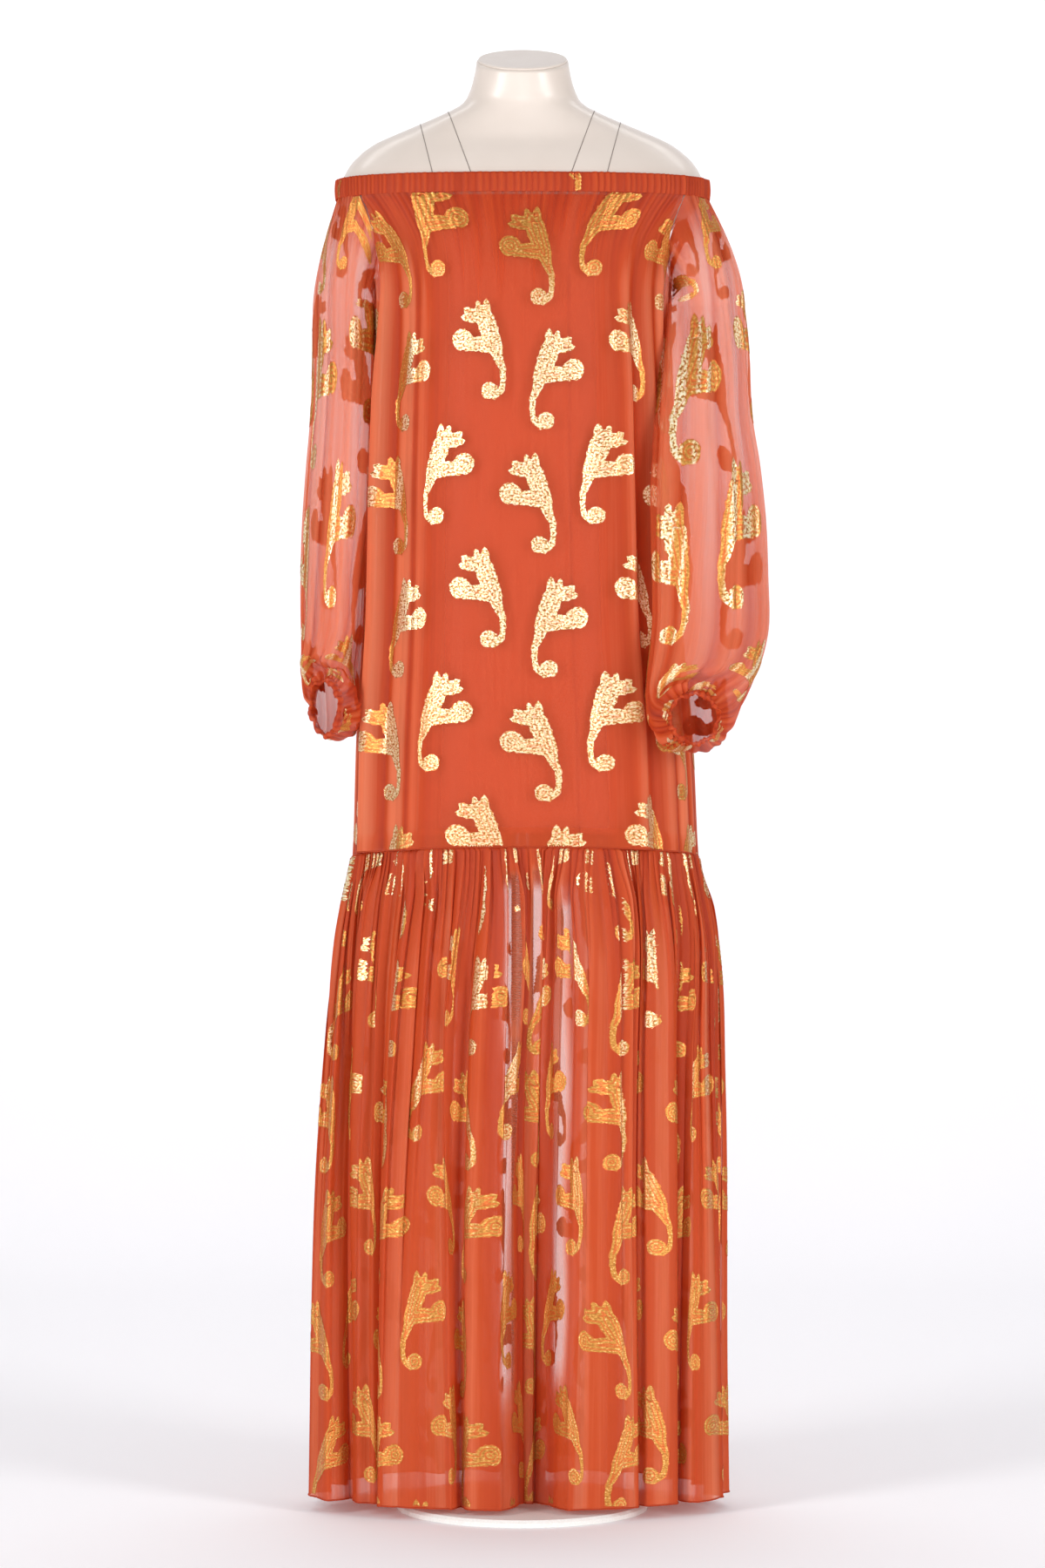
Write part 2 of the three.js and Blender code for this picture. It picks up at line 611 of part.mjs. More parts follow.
// Turned shapes are made about Y, and stand about Z here. Their seams are merged into one closed surface
function upright(geometry) {
  geometry.rotateX(Math.PI / 2);
  geometry.deleteAttribute("normal");
  geometry.deleteAttribute("uv");
  const merged = mergeVertices(geometry, 1e-4);
  merged.computeVertexNormals();
  return merged;
}

const dress = new THREE.Group();
dress.add(mesh("neckline_band", necklineBand(), chiffonFinish));
dress.add(mesh("lining_slip", lining(), liningFinish));
for (const [side, middle] of Object.entries(panels)) {
  dress.add(mesh(`bodice_${side}`, bodicePanel(middle), chiffonFinish));
  dress.add(mesh(`skirt_${side}`, skirtPanel(middle), chiffonFinish));
}
for (const [side, outward] of Object.entries({ left: 1, right: -1 })) {
  dress.add(mesh(`sleeve_${side}`, sleeve(`sleeve_${side}`, outward), chiffonFinish));
  dress.add(mesh(`cuff_${side}`, cuffBand(`sleeve_${side}`), chiffonFinish));
}

const form = new THREE.Group();
form.add(mesh("form_torso", formTorso(), formFinish));
form.add(mesh("form_neck_cap", formNeckCap(), formFinish));
form.add(mesh("form_pole", formPole(), steelFinish));
form.add(mesh("form_foot", formFoot(), footFinish));

const part = new THREE.Group();
part.add(dress, form);

export default part;
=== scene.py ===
import math
import bpy
import numpy as np
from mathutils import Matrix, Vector
from mathutils.geometry import delaunay_2d_cdt


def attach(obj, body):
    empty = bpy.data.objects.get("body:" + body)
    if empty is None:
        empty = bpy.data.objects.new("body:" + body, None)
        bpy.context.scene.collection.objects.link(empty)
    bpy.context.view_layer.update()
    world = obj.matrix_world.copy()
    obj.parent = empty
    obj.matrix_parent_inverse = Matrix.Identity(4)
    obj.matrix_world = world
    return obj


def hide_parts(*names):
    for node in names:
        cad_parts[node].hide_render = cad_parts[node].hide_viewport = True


# Off-shoulder maxi dress of sheer silk chiffon with woven gold scrolls, on a glossy limbless dress form.
# Metres. The front faces -Y, the wearer's left is +X, and a turn runs from 0 at the front to 90 at +X.
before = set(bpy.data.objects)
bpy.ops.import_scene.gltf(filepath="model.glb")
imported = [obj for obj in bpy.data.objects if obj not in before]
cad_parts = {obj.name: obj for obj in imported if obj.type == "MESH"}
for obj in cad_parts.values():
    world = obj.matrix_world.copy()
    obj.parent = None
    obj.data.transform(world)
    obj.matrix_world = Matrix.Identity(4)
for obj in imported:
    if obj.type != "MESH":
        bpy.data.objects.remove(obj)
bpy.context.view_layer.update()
print("frame loaded")

# Heights and seams of the dress
dress = {
    "necklineTop": 1.496,
    "bandHeight": 0.022,
    "underarm": 1.380,
    "armholeTurn": 36,
    "armholeCurve": 2.2,
    "seamSide": 0.735,
    "seamTilt": 0.014,
    "hemSide": 0.017,
    "hemTilt": 0.002,
}

# Plan outlines: height, half width, front depth, back depth, squareness, sway
bodiceSections = np.array([
    (1.474, 0.208, 0.0965, 0.0945, 2.5, 0),
    (1.450, 0.190, 0.105, 0.097, 2.4, 0),
    (1.420, 0.174, 0.115, 0.098, 2.25, 0),
    (1.380, 0.166, 0.124, 0.100, 2.15, 0),
    (1.340, 0.165, 0.128, 0.102, 2.1, 0),
    (1.290, 0.166, 0.129, 0.104, 2.1, 0),
    (1.150, 0.171, 0.127, 0.110, 2.1, 0),
    (1.000, 0.176, 0.125, 0.114, 2.1, 0.001),
    (0.862, 0.187, 0.122, 0.117, 2.1, 0.003),
    (0.720, 0.194, 0.117, 0.118, 2.1, 0.004),
])
skirtSections = np.array([
    (0.760, 0.192, 0.117, 0.118, 2.1, 0.004),
    (0.720, 0.195, 0.116, 0.119, 2.1, 0.004),
    (0.640, 0.205, 0.110, 0.122, 2.05, 0.004),
    (0.520, 0.209, 0.102, 0.125, 2, 0),
    (0.370, 0.212, 0.095, 0.126, 2, -0.003),
    (0.200, 0.212, 0.090, 0.126, 2, -0.004),
    (0.010, 0.210, 0.086, 0.126, 2, -0.004),
])

# Long folds: turn, half its span in turns, how far it stands out, share of it that is level
bodiceFolds = [
    (-62, 9, 0.010, 0), (-43, 8, 0.010, 0), (38, 10, 0.009, 0), (56, 7, 0.007, 0), (112, 10, 0.008, 0),
    (141, 9, 0.008, 0), (172, 11, 0.006, 0), (207, 10, 0.008, 0), (238, 9, 0.008, 0),
]
skirtFolds = [
    (-77, 13, 0.026, 0.35), (-52, 8, 0.015, 0.1), (-31, 15, 0.025, 0.55), (-10, 7.5, 0.024, 0.3),
    (3.5, 9.5, -0.034, 0.35), (4, 4.5, 0.014, 0.1), (24.5, 13.5, 0.027, 0.55), (46, 8.5, 0.022, 0.3),
    (69, 12, 0.026, 0.4), (97, 12, 0.023, 0.3), (120, 9, 0.022, 0.3), (140, 8.5, 0.024, 0.35),
    (160, 9, 0.020, 0.3), (178, 8, 0.025, 0.35), (197, 8.5, 0.021, 0.3), (217, 9.5, 0.025, 0.4),
    (239, 9.5, 0.021, 0.3), (259, 8, 0.022, 0.3),
]


def ramp(value, start, end):
    share = np.clip((value - start) / (end - start), 0, 1)
    return share * share * (3 - 2 * share)


# One column of a table whose first column is the key, as a smooth curve through its rows
def tableValue(table, column, where):
    rows = table[np.argsort(table[:, 0])]
    keys = rows[:, 0]
    values = rows[:, column]
    last = len(keys) - 1
    below = np.maximum(np.arange(last + 1) - 1, 0)
    above = np.minimum(np.arange(last + 1) + 1, last)
    slopes = (values[above] - values[below]) / (keys[above] - keys[below])
    place = np.clip(where, keys[0], keys[-1])
    i = np.clip(np.searchsorted(keys, place) - 1, 0, last - 1)
    step = keys[i + 1] - keys[i]
    t = (place - keys[i]) / step
    start = (2 * t**3 - 3 * t**2 + 1) * values[i] + (t**3 - 2 * t**2 + t) * step * slopes[i]
    end = (3 * t**2 - 2 * t**3) * values[i + 1] + (t**3 - t**2) * step * slopes[i + 1]
    return start + end


# A rounded plan outline: a squareness of 2 is an ellipse, and more is fuller at the corners
def planPoint(sections, turn, z, inset=0):
    halfWidth, front, back, squareness, sway = (tableValue(sections, k, z) for k in range(1, 6))
    across = np.sin(np.radians(turn))
    ahead = np.cos(np.radians(turn))
    fullness = (np.abs(across) ** squareness + np.abs(ahead) ** squareness) ** (-1 / squareness)
    depth = np.where(ahead > 0, front, back) - inset
    return (halfWidth - inset) * fullness * across + sway, -depth * fullness * ahead


# Plan outline with its folds: moved out along its normal, and sideways so that a fold can overlap the next
def foldedPoint(sections, turn, z, out, along):
    step = 0.5
    x, y = planPoint(sections, turn, z)
    nextX, nextY = planPoint(sections, turn + step, z)
    lastX, lastY = planPoint(sections, turn - step, z)
    length = np.hypot(nextX - lastX, nextY - lastY)
    tx = (nextX - lastX) / length
    ty = (nextY - lastY) / length
    foldedX = x + ty * out + tx * along
    foldedY = y - tx * out + ty * along
    return np.stack([foldedX, foldedY, z + 0 * x], -1)


def turnBetween(turn, other):
    return (turn - other + 180) % 360 - 180


def foldsAt(folds, turn):
    total = 0 * turn
    for centre, halfSpan, rise, flat in folds:
        off = np.abs(turnBetween(turn, centre)) / halfSpan
        total = total + rise * (1 - ramp(off, flat, 1))
    return total


# Irregular waves round the body, about -1 to 1, the same on every run
def wander(turn, seed, slowest, fastest):
    generator = np.random.default_rng(seed)
    waves = np.arange(slowest, fastest + 1)
    sizes = generator.uniform(0.5, 1, len(waves))
    phases = generator.uniform(0, 2 * np.pi, len(waves))
    angle = np.radians(turn)
    total = sum(size * np.sin(n * angle + phase) for n, size, phase in zip(waves, sizes, phases))
    return total / (1.7 * math.sqrt((sizes**2).sum() / 2))


# Gathers round the body: rounded ridges with narrow creases between, from 0 to 1, uneven in width and height
def gatherPhase(turn, count, seed):
    return np.radians(turn) * count + 2.4 * wander(turn, seed, 2, max(count // 5, 3))


def gathers(turn, count, seed):
    ridge = np.sqrt(np.cos(gatherPhase(turn, count, seed) / 2) ** 2 + 0.004)
    return ridge * (0.62 + 0.38 * wander(turn, seed + 1, 3, max(count // 2, 5)))


# Where a gather lies over its own return: 1 there and 0 between, with crisp edges
def overlaps(turn, count, seed, share):
    edge = math.cos(math.pi * share)
    return ramp(np.cos(gatherPhase(turn, count, seed) + 0.9), edge - 0.12, edge + 0.12)


def seamHeight(turn):
    return dress["seamSide"] + dress["seamTilt"] * np.cos(np.radians(turn))


def hemHeight(turn):
    return dress["hemSide"] - dress["hemTilt"] * np.cos(np.radians(turn))


def bodiceTop(turn):
    fromSide = np.abs(90 - np.abs(turnBetween(turn, 0)))
    bandBottom = dress["necklineTop"] - dress["bandHeight"]
    climb = np.minimum(fromSide / dress["armholeTurn"], 1) ** dress["armholeCurve"]
    return dress["underarm"] + (bandBottom - dress["underarm"]) * climb


# One ply hides this share of what is behind it. The seen plies of a sheet say how much it hides, and how deep
# its colour is
plyCover = 0.5
bandPlies = 4.5


# The bodice: fine gathers under the band that fade into a few long folds, and a smooth middle
bodice = {
    "neckGathers": 150,
    "neckRise": 0.0022,
    "neckFade": 0.11,
    "drapeCount": 34,
    "drapeRise": 0.0056,
    "foldStart": 0.060,
    "foldFull": 0.260,
    "flatWidth": 1.16,
    "length": 0.745,
}


def bodiceSurface(turn, z):
    fall = dress["necklineTop"] - dress["bandHeight"] - z
    above = z - seamHeight(turn)
    fade = 1 - ramp(fall, 0.005, bodice["neckFade"] * (0.75 + 0.6 * wander(turn, 21, 5, 70)))
    out = bodice["neckRise"] * fade * gathers(turn, bodice["neckGathers"], 22)
    soft = gathers(turn + 1.5 * wander(turn, 24, 2, 6) * fall, bodice["drapeCount"], 23)
    sides = 0.25 + 0.75 * ramp(np.abs(turnBetween(turn, 0)), 22, 40)
    out = out + bodice["drapeRise"] * soft * ramp(fall, 0, 0.12) * sides * (0.45 + 0.55 * ramp(above, 0, 0.2))
    grown = ramp(fall + dress["bandHeight"], bodice["foldStart"], bodice["foldFull"])
    out = out + foldsAt(bodiceFolds, turn) * grown
    lean = 0.9 * np.tanh(2 * wander(turn, 25, 2, 9))
    pull = 0.0007 * gathers(turn, 150, 31) * (1 - ramp(above, 0, 0.03))
    return foldedPoint(bodiceSections, turn, z, out + pull, lean * out)


def bodicePlies(turn, z):
    fall = dress["necklineTop"] - dress["bandHeight"] - z
    reach = 0.10 * (0.8 + 0.6 * wander(turn, 21, 5, 70))
    crowd = (1 - ramp(fall, 0.0, reach)) * (0.3 + 0.7 * overlaps(turn, bodice["neckGathers"], 22, 0.4))
    drifted = turn + 1.5 * wander(turn, 24, 2, 6) * fall
    sides = ramp(np.abs(turnBetween(turn, 0)), 26, 40)
    low = 1.6 * (1 - ramp(z - seamHeight(turn), 0.010, 0.024))
    edge = 1.6 * ramp(np.abs(90 - np.abs(turnBetween(turn, 0))), 38, 16)
    ply = sides * (0.9 + 0.9 * overlaps(drifted, bodice["drapeCount"], 23, 0.4))
    return 1 + 1.2 * crowd + low + edge * ramp(fall, 0.10, 0.16) + ply


# Over the lining the bodice looks deeper. Where it stands off at the sides it is paler, partly its thinner
# cover over air and partly a painted highlight on the lit side folds, with painted shade in the creases
# between those folds and between the neck gathers
def bodiceCreaseShade(turn, z):
    fall = dress["necklineTop"] - dress["bandHeight"] - z
    sides = ramp(np.abs(turnBetween(turn, 0)), 30, 44) * ramp(fall, 0.03, 0.12)
    folds = 1 - gathers(turn + 1.5 * wander(turn, 24, 2, 6) * fall, bodice["drapeCount"], 23)
    neck = 1 - gathers(turn, bodice["neckGathers"], 22)
    fade = 1 - ramp(fall, 0.0, bodice["neckFade"] * (0.75 + 0.6 * wander(turn, 21, 5, 70)))
    return 0.24 - 0.46 * sides + 0.75 * sides * folds**2 + 0.45 * fade * neck**2


# The skirt tier: three sizes of gathers that run into one another down to the long folds of the hem
skirt = {
    # Number round the body, rise, where they start and are full, where they fade and are gone, rest, lean
    "levels": [
        (176, 0.0042, 0.0, 0.004, 0.06, 0.22, 0.0, 1.3),
        (84, 0.0075, 0.0, 0.06, 0.14, 0.55, 0.20, 1.7),
        (38, 0.0085, 0.02, 0.20, 0.30, 0.70, 0.55, 1.5),
    ],
    "middleRadius": 0.165,
    "drift": 2.2,
    "growth": 0.75,
    "overhang": 0.95,
    "flatWidth": 2.10,
    "length": 0.725,
}


# The turn at which a gather of one level began, higher up: gathers drift sideways on their way down
def skirtDrift(number, turn, fall):
    return turn + skirt["drift"] * wander(turn, 50 + number, 2, 9) * fall


def skirtRidge(number, turn, fall):
    return gathers(skirtDrift(number, turn, fall), skirt["levels"][number][0], 60 + 3 * number)


def skirtSurface(turn, fall):
    z = seamHeight(turn) - fall
    share = np.clip(fall / (seamHeight(turn) - hemHeight(turn)), 0, 1.02)
    growth = share ** skirt["growth"]
    out = foldsAt(skirtFolds, turn) * growth
    along = 0 * turn
    for centre, halfSpan, rise, flat in skirtFolds:
        off = turnBetween(turn, centre) / halfSpan
        swell = np.where(np.abs(off) < 1, np.sin(np.pi * off), 0)
        width = math.radians(halfSpan) * skirt["middleRadius"]
        along = along + np.sign(rise) * skirt["overhang"] * width * swell / np.pi * growth
    for number, (count, rise, start, full, fade, gone, rest, lean) in enumerate(skirt["levels"]):
        reach = 1 + 0.45 * wander(turn, 70 + number, 4, count // 3)
        fading = 1 - (1 - rest) * ramp(fall, fade * reach, gone * reach)
        here = rise * skirtRidge(number, turn, fall) * ramp(fall, start - 0.001, full) * fading
        out = out + here
        along = along + lean * np.tanh(2.5 * wander(turn, 80 + number, 3, 14)) * here
    return foldedPoint(skirtSections, turn, z, out, along)


# Strips of the skirt where one ply hangs clear of the gathers: turn, half its span, from and to which fall
clearStrips = [
    (-6.6, 3.4, 0.015, 0.26), (-5.8, 2.6, 0.20, 0.66), (13.4, 2.5, 0.05, 0.64), (2.9, 1.4, 0.010, 0.24),
    (166, 6.0, 0.01, 0.66), (176, 3.4, 0.01, 0.34), (184, 6.0, 0.01, 0.66),
]


def skirtPlies(turn, fall):
    wide = overlaps(skirtDrift(2, turn, fall), 38, 66, 0.62)
    narrow = overlaps(skirtDrift(1, turn, fall), 84, 63, 0.5) * (1 - 0.6 * ramp(fall, 0.2, 0.6))
    count = 2.5 + 1.5 * wide + 1.2 * narrow + 1.2 * (1 - ramp(fall, 0, 0.05))
    for centre, halfSpan, start, end in clearStrips:
        middle = centre + 0.30 * np.sin(fall * 26 + centre)
        across = 1 - ramp(np.abs(turnBetween(turn, middle)) / halfSpan, 0.35, 1.05)
        clear = across * ramp(fall, start, start + 0.02) * (1 - ramp(fall, end - 0.08, end))
        count = count + (0.7 - count) * clear
    return count


# Painted shade of the skirt, from 0 to 1: deeper in the valleys between its long folds, with a painted shadow
# line along each fold's edge and painted shade between the gathers near the seam. An uneven band of tone
# follows the overlapping plies
def skirtCreaseShade(turn, fall):
    share = np.clip(fall / 0.72, 0, 1)
    height = 0 * turn
    edge = 0 * turn
    for centre, halfSpan, rise, flat in skirtFolds:
        off = np.abs(turnBetween(turn, centre)) / halfSpan
        height = np.maximum(height, (1 - ramp(off, flat, 1)) * (rise > 0))
        edge = np.maximum(edge, np.exp(-(((off - 0.97) / 0.10) ** 2)) * (rise > 0))
    # Painted shade in the valleys and a painted shadow along each fold's edge
    main = (0.17 * (1 - height) ** 2 + 0.20 * edge) * share ** 0.5
    some = ramp(wander(turn, 91, 3, 24), -0.4, 0.7)
    small = (1 - skirtRidge(1, turn, fall)) ** 3 * some * (1 - 0.8 * ramp(fall, 0.15, 0.55))
    fine = (1 - skirtRidge(0, turn, fall)) ** 2 * (1 - ramp(fall, 0.03, 0.14))
    band = 0.10 * wander(skirtDrift(2, turn, fall), 99, 12, 50)
    return np.clip(0.04 + band + main + 0.26 * small + 0.20 * fine, -0.2, 1)


def mesh(name, points, faces, material, uv=None, values=None):
    data = bpy.data.meshes.new(name)
    data.from_pydata(points.tolist(), [], faces.tolist() if hasattr(faces, "tolist") else faces)
    data.update()
    if uv is not None:
        corner = np.empty(len(data.loops), np.int32)
        data.loops.foreach_get("vertex_index", corner)
        layer = data.uv_layers.new(name="cloth")
        layer.data.foreach_set("uv", uv[corner].astype(np.float32).ravel())
    for label, value in (values or {}).items():
        value = np.broadcast_to(value, len(points)).astype(np.float32)
        data.attributes.new(label, "FLOAT", "POINT").data.foreach_set("value", value)
    data.shade_smooth()
    piece = bpy.data.objects.new(name, data)
    bpy.context.scene.collection.objects.link(piece)
    data.materials.append(material)
    return piece


# A sheet through a grid of points, rows running down. around joins the last column to the first
def gridFaces(rows, columns, around=False):
    index = np.arange(rows * columns).reshape(rows, columns)
    if around:
        index = np.hstack([index, index[:, :1]])
    quads = [index[:-1, :-1], index[1:, :-1], index[1:, 1:], index[:-1, 1:]]
    return np.stack(quads, -1).reshape(-1, 4)


def sheetMesh(name, grid, material, across, down, around=False, plies=bandPlies, creaseShade=0.0):
    rows, columns = grid.shape[:2]
    uv = np.stack([across + 0 * down, down + 0 * across], -1).reshape(-1, 2)
    cover = 1 - (1 - plyCover) ** plies
    # The crease share is painted shade, added to the deeper tone of stacked plies
    depthAndShade = np.clip(creaseShade + 0.08 * (plies - 0.7), 0, 1)
    looks = {"cover": cover, "depthAndShade": depthAndShade}
    looks = {label: np.broadcast_to(value, (rows, columns)).ravel() for label, value in looks.items()}
    return mesh(name, grid.reshape(-1, 3), gridFaces(rows, columns, around), material, uv, looks)


# Colours and materials
def linear(hexColour):
    channels = [int(hexColour[k:k + 2], 16) / 255 for k in (1, 3, 5)]
    return tuple(c / 12.92 if c <= 0.04045 else ((c + 0.055) / 1.055) ** 2.4 for c in channels) + (1.0,)


def addNode(material, kind, settings=None, links=None, **values):
    node = material.node_tree.nodes.new(kind)
    for name, value in (settings or {}).items():
        setattr(node, name, value)
    for name, value in values.items():
        node.inputs[name.replace("_", " ")].default_value = value
    for name, socket in (links or {}).items():
        material.node_tree.links.new(socket, node.inputs[name])
    return node


def newMaterial(name):
    material = bpy.data.materials.new(name)
    material.use_nodes = True
    material.node_tree.nodes.clear()
    return material


def colourRamp(material, source, stops):
    node = addNode(material, "ShaderNodeValToRGB", links={"Fac": source})
    while len(node.color_ramp.elements) < len(stops):
        node.color_ramp.elements.new(0.5)
    for element, (place, colour) in zip(node.color_ramp.elements, stops):
        element.position = place
        element.color = linear(colour) if isinstance(colour, str) else (colour, colour, colour, 1)
    return node.outputs["Color"]


def clothPlace(material):
    return addNode(material, "ShaderNodeUVMap", {"uv_map": "cloth"}).outputs["UV"]


def partPlace(material):
    return addNode(material, "ShaderNodeTexCoord").outputs["Object"]


def attribute(material, name):
    return addNode(material, "ShaderNodeAttribute", {"attribute_name": name}).outputs["Fac"]


def noise(material, place, scale, detail=2.0):
    values = {"Scale": scale, "Detail": detail}
    return addNode(material, "ShaderNodeTexNoise", links={"Vector": place}, **values).outputs["Fac"]


# Noise that is finer along some axes than along others
def grain(material, place, size, detail=2.0):
    sized = addNode(material, "ShaderNodeMapping", links={"Vector": place}, Scale=size)
    return noise(material, sized.outputs["Vector"], 1.0, detail)


def relief(material, height, strength, distance):
    bump = addNode(material, "ShaderNodeBump", links={"Height": height}, Strength=strength, Distance=distance)
    return bump.outputs["Normal"]


# Gloss that varies between two roughnesses with a noise
def unevenGloss(material, source, low, high):
    limits = {"From_Min": 0.3, "From_Max": 0.7, "To_Min": low, "To_Max": high}
    return addNode(material, "ShaderNodeMapRange", links={"Value": source}, **limits).outputs["Result"]


def principled(material, links, **values):
    return addNode(material, "ShaderNodeBsdfPrincipled", links=links, **values)


def finished(material, shader):
    addNode(material, "ShaderNodeOutputMaterial", links={"Surface": shader.outputs[0]})
    return material


# Silk chiffon, woven of crimped yarns and piece dyed: sheer, soft and slightly glowing, with faint streaks
# down the warp. It hides more, and looks deeper, where its plies lie on one another. Its two deepest colours
# are painted shade for its creases, and its pale colour is both a thin ply's tone and a painted highlight
# on lit side folds
def silkChiffon(name, paleAndHighlight, colour, creaseShadeColour, deepestShadeColour):
    material = newMaterial(name)
    place = clothPlace(material)
    links = {0: grain(material, place, (500, 9, 1)), 2: attribute(material, "depthAndShade")}
    uneven = addNode(material, "ShaderNodeMath", {"operation": "MULTIPLY_ADD"}, links=links)
    uneven.inputs[1].default_value = 0.12
    # Painted shade in the two deepest stops; the pale stop is also a painted highlight
    stops = [(0.05, paleAndHighlight), (0.36, colour), (0.66, creaseShadeColour), (1.0, deepestShadeColour)]
    dyed = colourRamp(material, uneven.outputs[0], stops)
    front = principled(
        material,
        {"Base Color": dyed, "Normal": relief(material, grain(material, place, (900, 300, 1)), 0.15, 0.0005)},
        Roughness=0.6,
        IOR=1.4,
        Sheen_Weight=0.2,
        Sheen_Roughness=0.35,
        Sheen_Tint=linear("#ffa080"),
    )
    glow = addNode(material, "ShaderNodeBsdfTranslucent", links={"Color": dyed})
    cloth = addNode(material, "ShaderNodeMixShader", Fac=0.35)
    material.node_tree.links.new(front.outputs[0], cloth.inputs[1])
    material.node_tree.links.new(glow.outputs[0], cloth.inputs[2])
    gaps = addNode(material, "ShaderNodeBsdfTransparent")
    sheer = addNode(material, "ShaderNodeMixShader", links={"Fac": attribute(material, "cover")})
    material.node_tree.links.new(gaps.outputs[0], sheer.inputs[1])
    material.node_tree.links.new(cloth.outputs[0], sheer.inputs[2])
    return finished(material, sheer)


# Flat gold lurex weft, clipped at the outline of each scroll: metallic and ochre. A painted highlight turns
# it a white gold with darker specks where a scroll is taken to face the light, and fills in its lines there.
# The orange ground shows between its lines
def goldLurex(name):
    material = newMaterial(name)
    glint = grain(material, clothPlace(material), (380, 460, 1), 2.5)
    highlightStops = [(0.38, "#9c5a24"), (0.45, "#d9ac68"), (0.52, "#f3e2b6"), (0.7, "#fbf3dc")]
    mattStops = [(0.3, "#a86c2c"), (0.5, "#c6893c"), (0.62, "#d79e4e"), (0.72, "#f4d695")]
    highlightGold = colourRamp(material, glint, highlightStops)
    matt = colourRamp(material, glint, mattStops)
    depth = attribute(material, "depth")
    wave = addNode(material, "ShaderNodeMath", {"operation": "PINGPONG"}, links={0: depth})
    wave.inputs[1].default_value = 1.9
    limits = {"From_Min": 0.25, "From_Max": 1.1, "To_Min": 0.15}
    vein = addNode(material, "ShaderNodeMapRange", links={"Value": wave.outputs[0]}, **limits)
    # Painted highlight: a share per spot that blends the ochre gold towards white gold
    painted_highlight = attribute(material, "painted_highlight")
    lit = addNode(material, "ShaderNodeMix", {"data_type": "RGBA"}, links={"Factor": painted_highlight})
    material.node_tree.links.new(matt, lit.inputs[6])
    material.node_tree.links.new(highlightGold, lit.inputs[7])
    settings = {"operation": "MULTIPLY_ADD", "use_clamp": True}
    openWork = addNode(material, "ShaderNodeMath", settings, links={0: painted_highlight, 2: vein.outputs["Result"]})
    openWork.inputs[1].default_value = 0.35
    shade = addNode(material, "ShaderNodeMix", {"data_type": "RGBA"}, links={"Factor": openWork.outputs[0]})
    shade.inputs[6].default_value = linear("#cf5f2a")
    material.node_tree.links.new(lit.outputs[2], shade.inputs[7])
    links = {"Base Color": shade.outputs[2], "Normal": relief(material, glint, 0.6, 0.0012)}
    return finished(material, principled(material, links, Metallic=0.6, Roughness=0.42))


# Polyester crepe lining, matt and opaque, a shade deeper than the chiffon
def crepeLining(name):
    material = newMaterial(name)
    weave = grain(material, clothPlace(material), (500, 500, 1))
    shade = colourRamp(material, weave, [(0.3, "#bb4426"), (0.7, "#d0532f")])
    links = {"Base Color": shade, "Normal": relief(material, weave, 0.3, 0.0005)}
    return finished(material, principled(material, links, Roughness=0.7, Sheen_Weight=0.15))


# Gloss gel-coated fibreglass, moulded and polished: a clear, slightly soft mirror over warm white
def gelCoat(name):
    material = newMaterial(name)
    place = partPlace(material)
    shade = colourRamp(material, noise(material, place, 9.0, 3.0), [(0.3, "#d6c9be"), (0.7, "#ddd1c7")])
    gloss = unevenGloss(material, noise(material, place, 60.0, 4.0), 0.30, 0.40)
    links = {"Base Color": shade, "Roughness": gloss}
    return finished(material, principled(material, links, Coat_Weight=0.15, Coat_Roughness=0.15))


# Polished stainless tube: bright, with faint scratches round it
def polishedSteel(name):
    material = newMaterial(name)
    scratch = grain(material, partPlace(material), (40, 40, 900))
    shade = colourRamp(material, scratch, [(0.3, "#b4b6b9"), (0.7, "#c6c8ca")])
    links = {"Base Color": shade, "Roughness": unevenGloss(material, scratch, 0.2, 0.34)}
    return finished(material, principled(material, links, Metallic=1.0))


# Satin powder coat on steel plate: even off-white with a fine orange-peel
def powderCoat(name):
    material = newMaterial(name)
    peel = noise(material, partPlace(material), 450.0)
    shade = colourRamp(material, peel, [(0.3, "#e4e2dd"), (0.7, "#edebe7")])
    links = {"Base Color": shade, "Normal": relief(material, peel, 0.2, 0.0004)}
    return finished(material, principled(material, links, Roughness=0.42))


# Filled and sanded joint between two moulded shells: a matt grey line
def jointFiller(name):
    material = newMaterial(name)
    grit = noise(material, partPlace(material), 300.0)
    shade = colourRamp(material, grit, [(0.3, "#80766f"), (0.7, "#988d85")])
    return finished(material, principled(material, {"Base Color": shade}, Roughness=0.7))


chiffon = silkChiffon("silk_chiffon", "#f88a5e", "#d4521f", "#c24014", "#a02c0c")
rolled = silkChiffon("silk_chiffon_rolled", "#d8603a", "#c4461e", "#a83210", "#8a240c")
gold = goldLurex("gold_lurex")
crepe = crepeLining("crepe_lining")
shell = gelCoat("gel_coat")
steel = polishedSteel("polished_steel")
coat = powderCoat("powder_coat")
sealant = jointFiller("joint_filler")
print("materials made")


# Panels: turns from one side seam to the other
panelColumns = {"bodice": 230, "skirt": 640}
panelRows = {"bodice": 120, "skirt": 96}
panelMiddle = {"front": 0, "back": 180}
seamInset = 0.12


def bodicePanel(side):
    middle = panelMiddle[side]
    turn = np.linspace(middle - 90 + seamInset, middle + 90 - seamInset, panelColumns["bodice"])[None, :]
    v = (np.linspace(0, 1, panelRows["bodice"]) ** 1.25)[:, None]
    z = bodiceTop(turn) + (seamHeight(turn) - bodiceTop(turn)) * v
    grid = bodiceSurface(turn + 0 * v, z)
    across = turn / 360 * bodice["flatWidth"]
    seen = {"plies": bodicePlies(turn, z), "creaseShade": bodiceCreaseShade(turn, z)}
    piece = sheetMesh(f"bodice_{side}_cloth", grid, chiffon, across, -z, **seen)
    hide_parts(f"bodice_{side}")
    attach(piece, "root")
    return piece


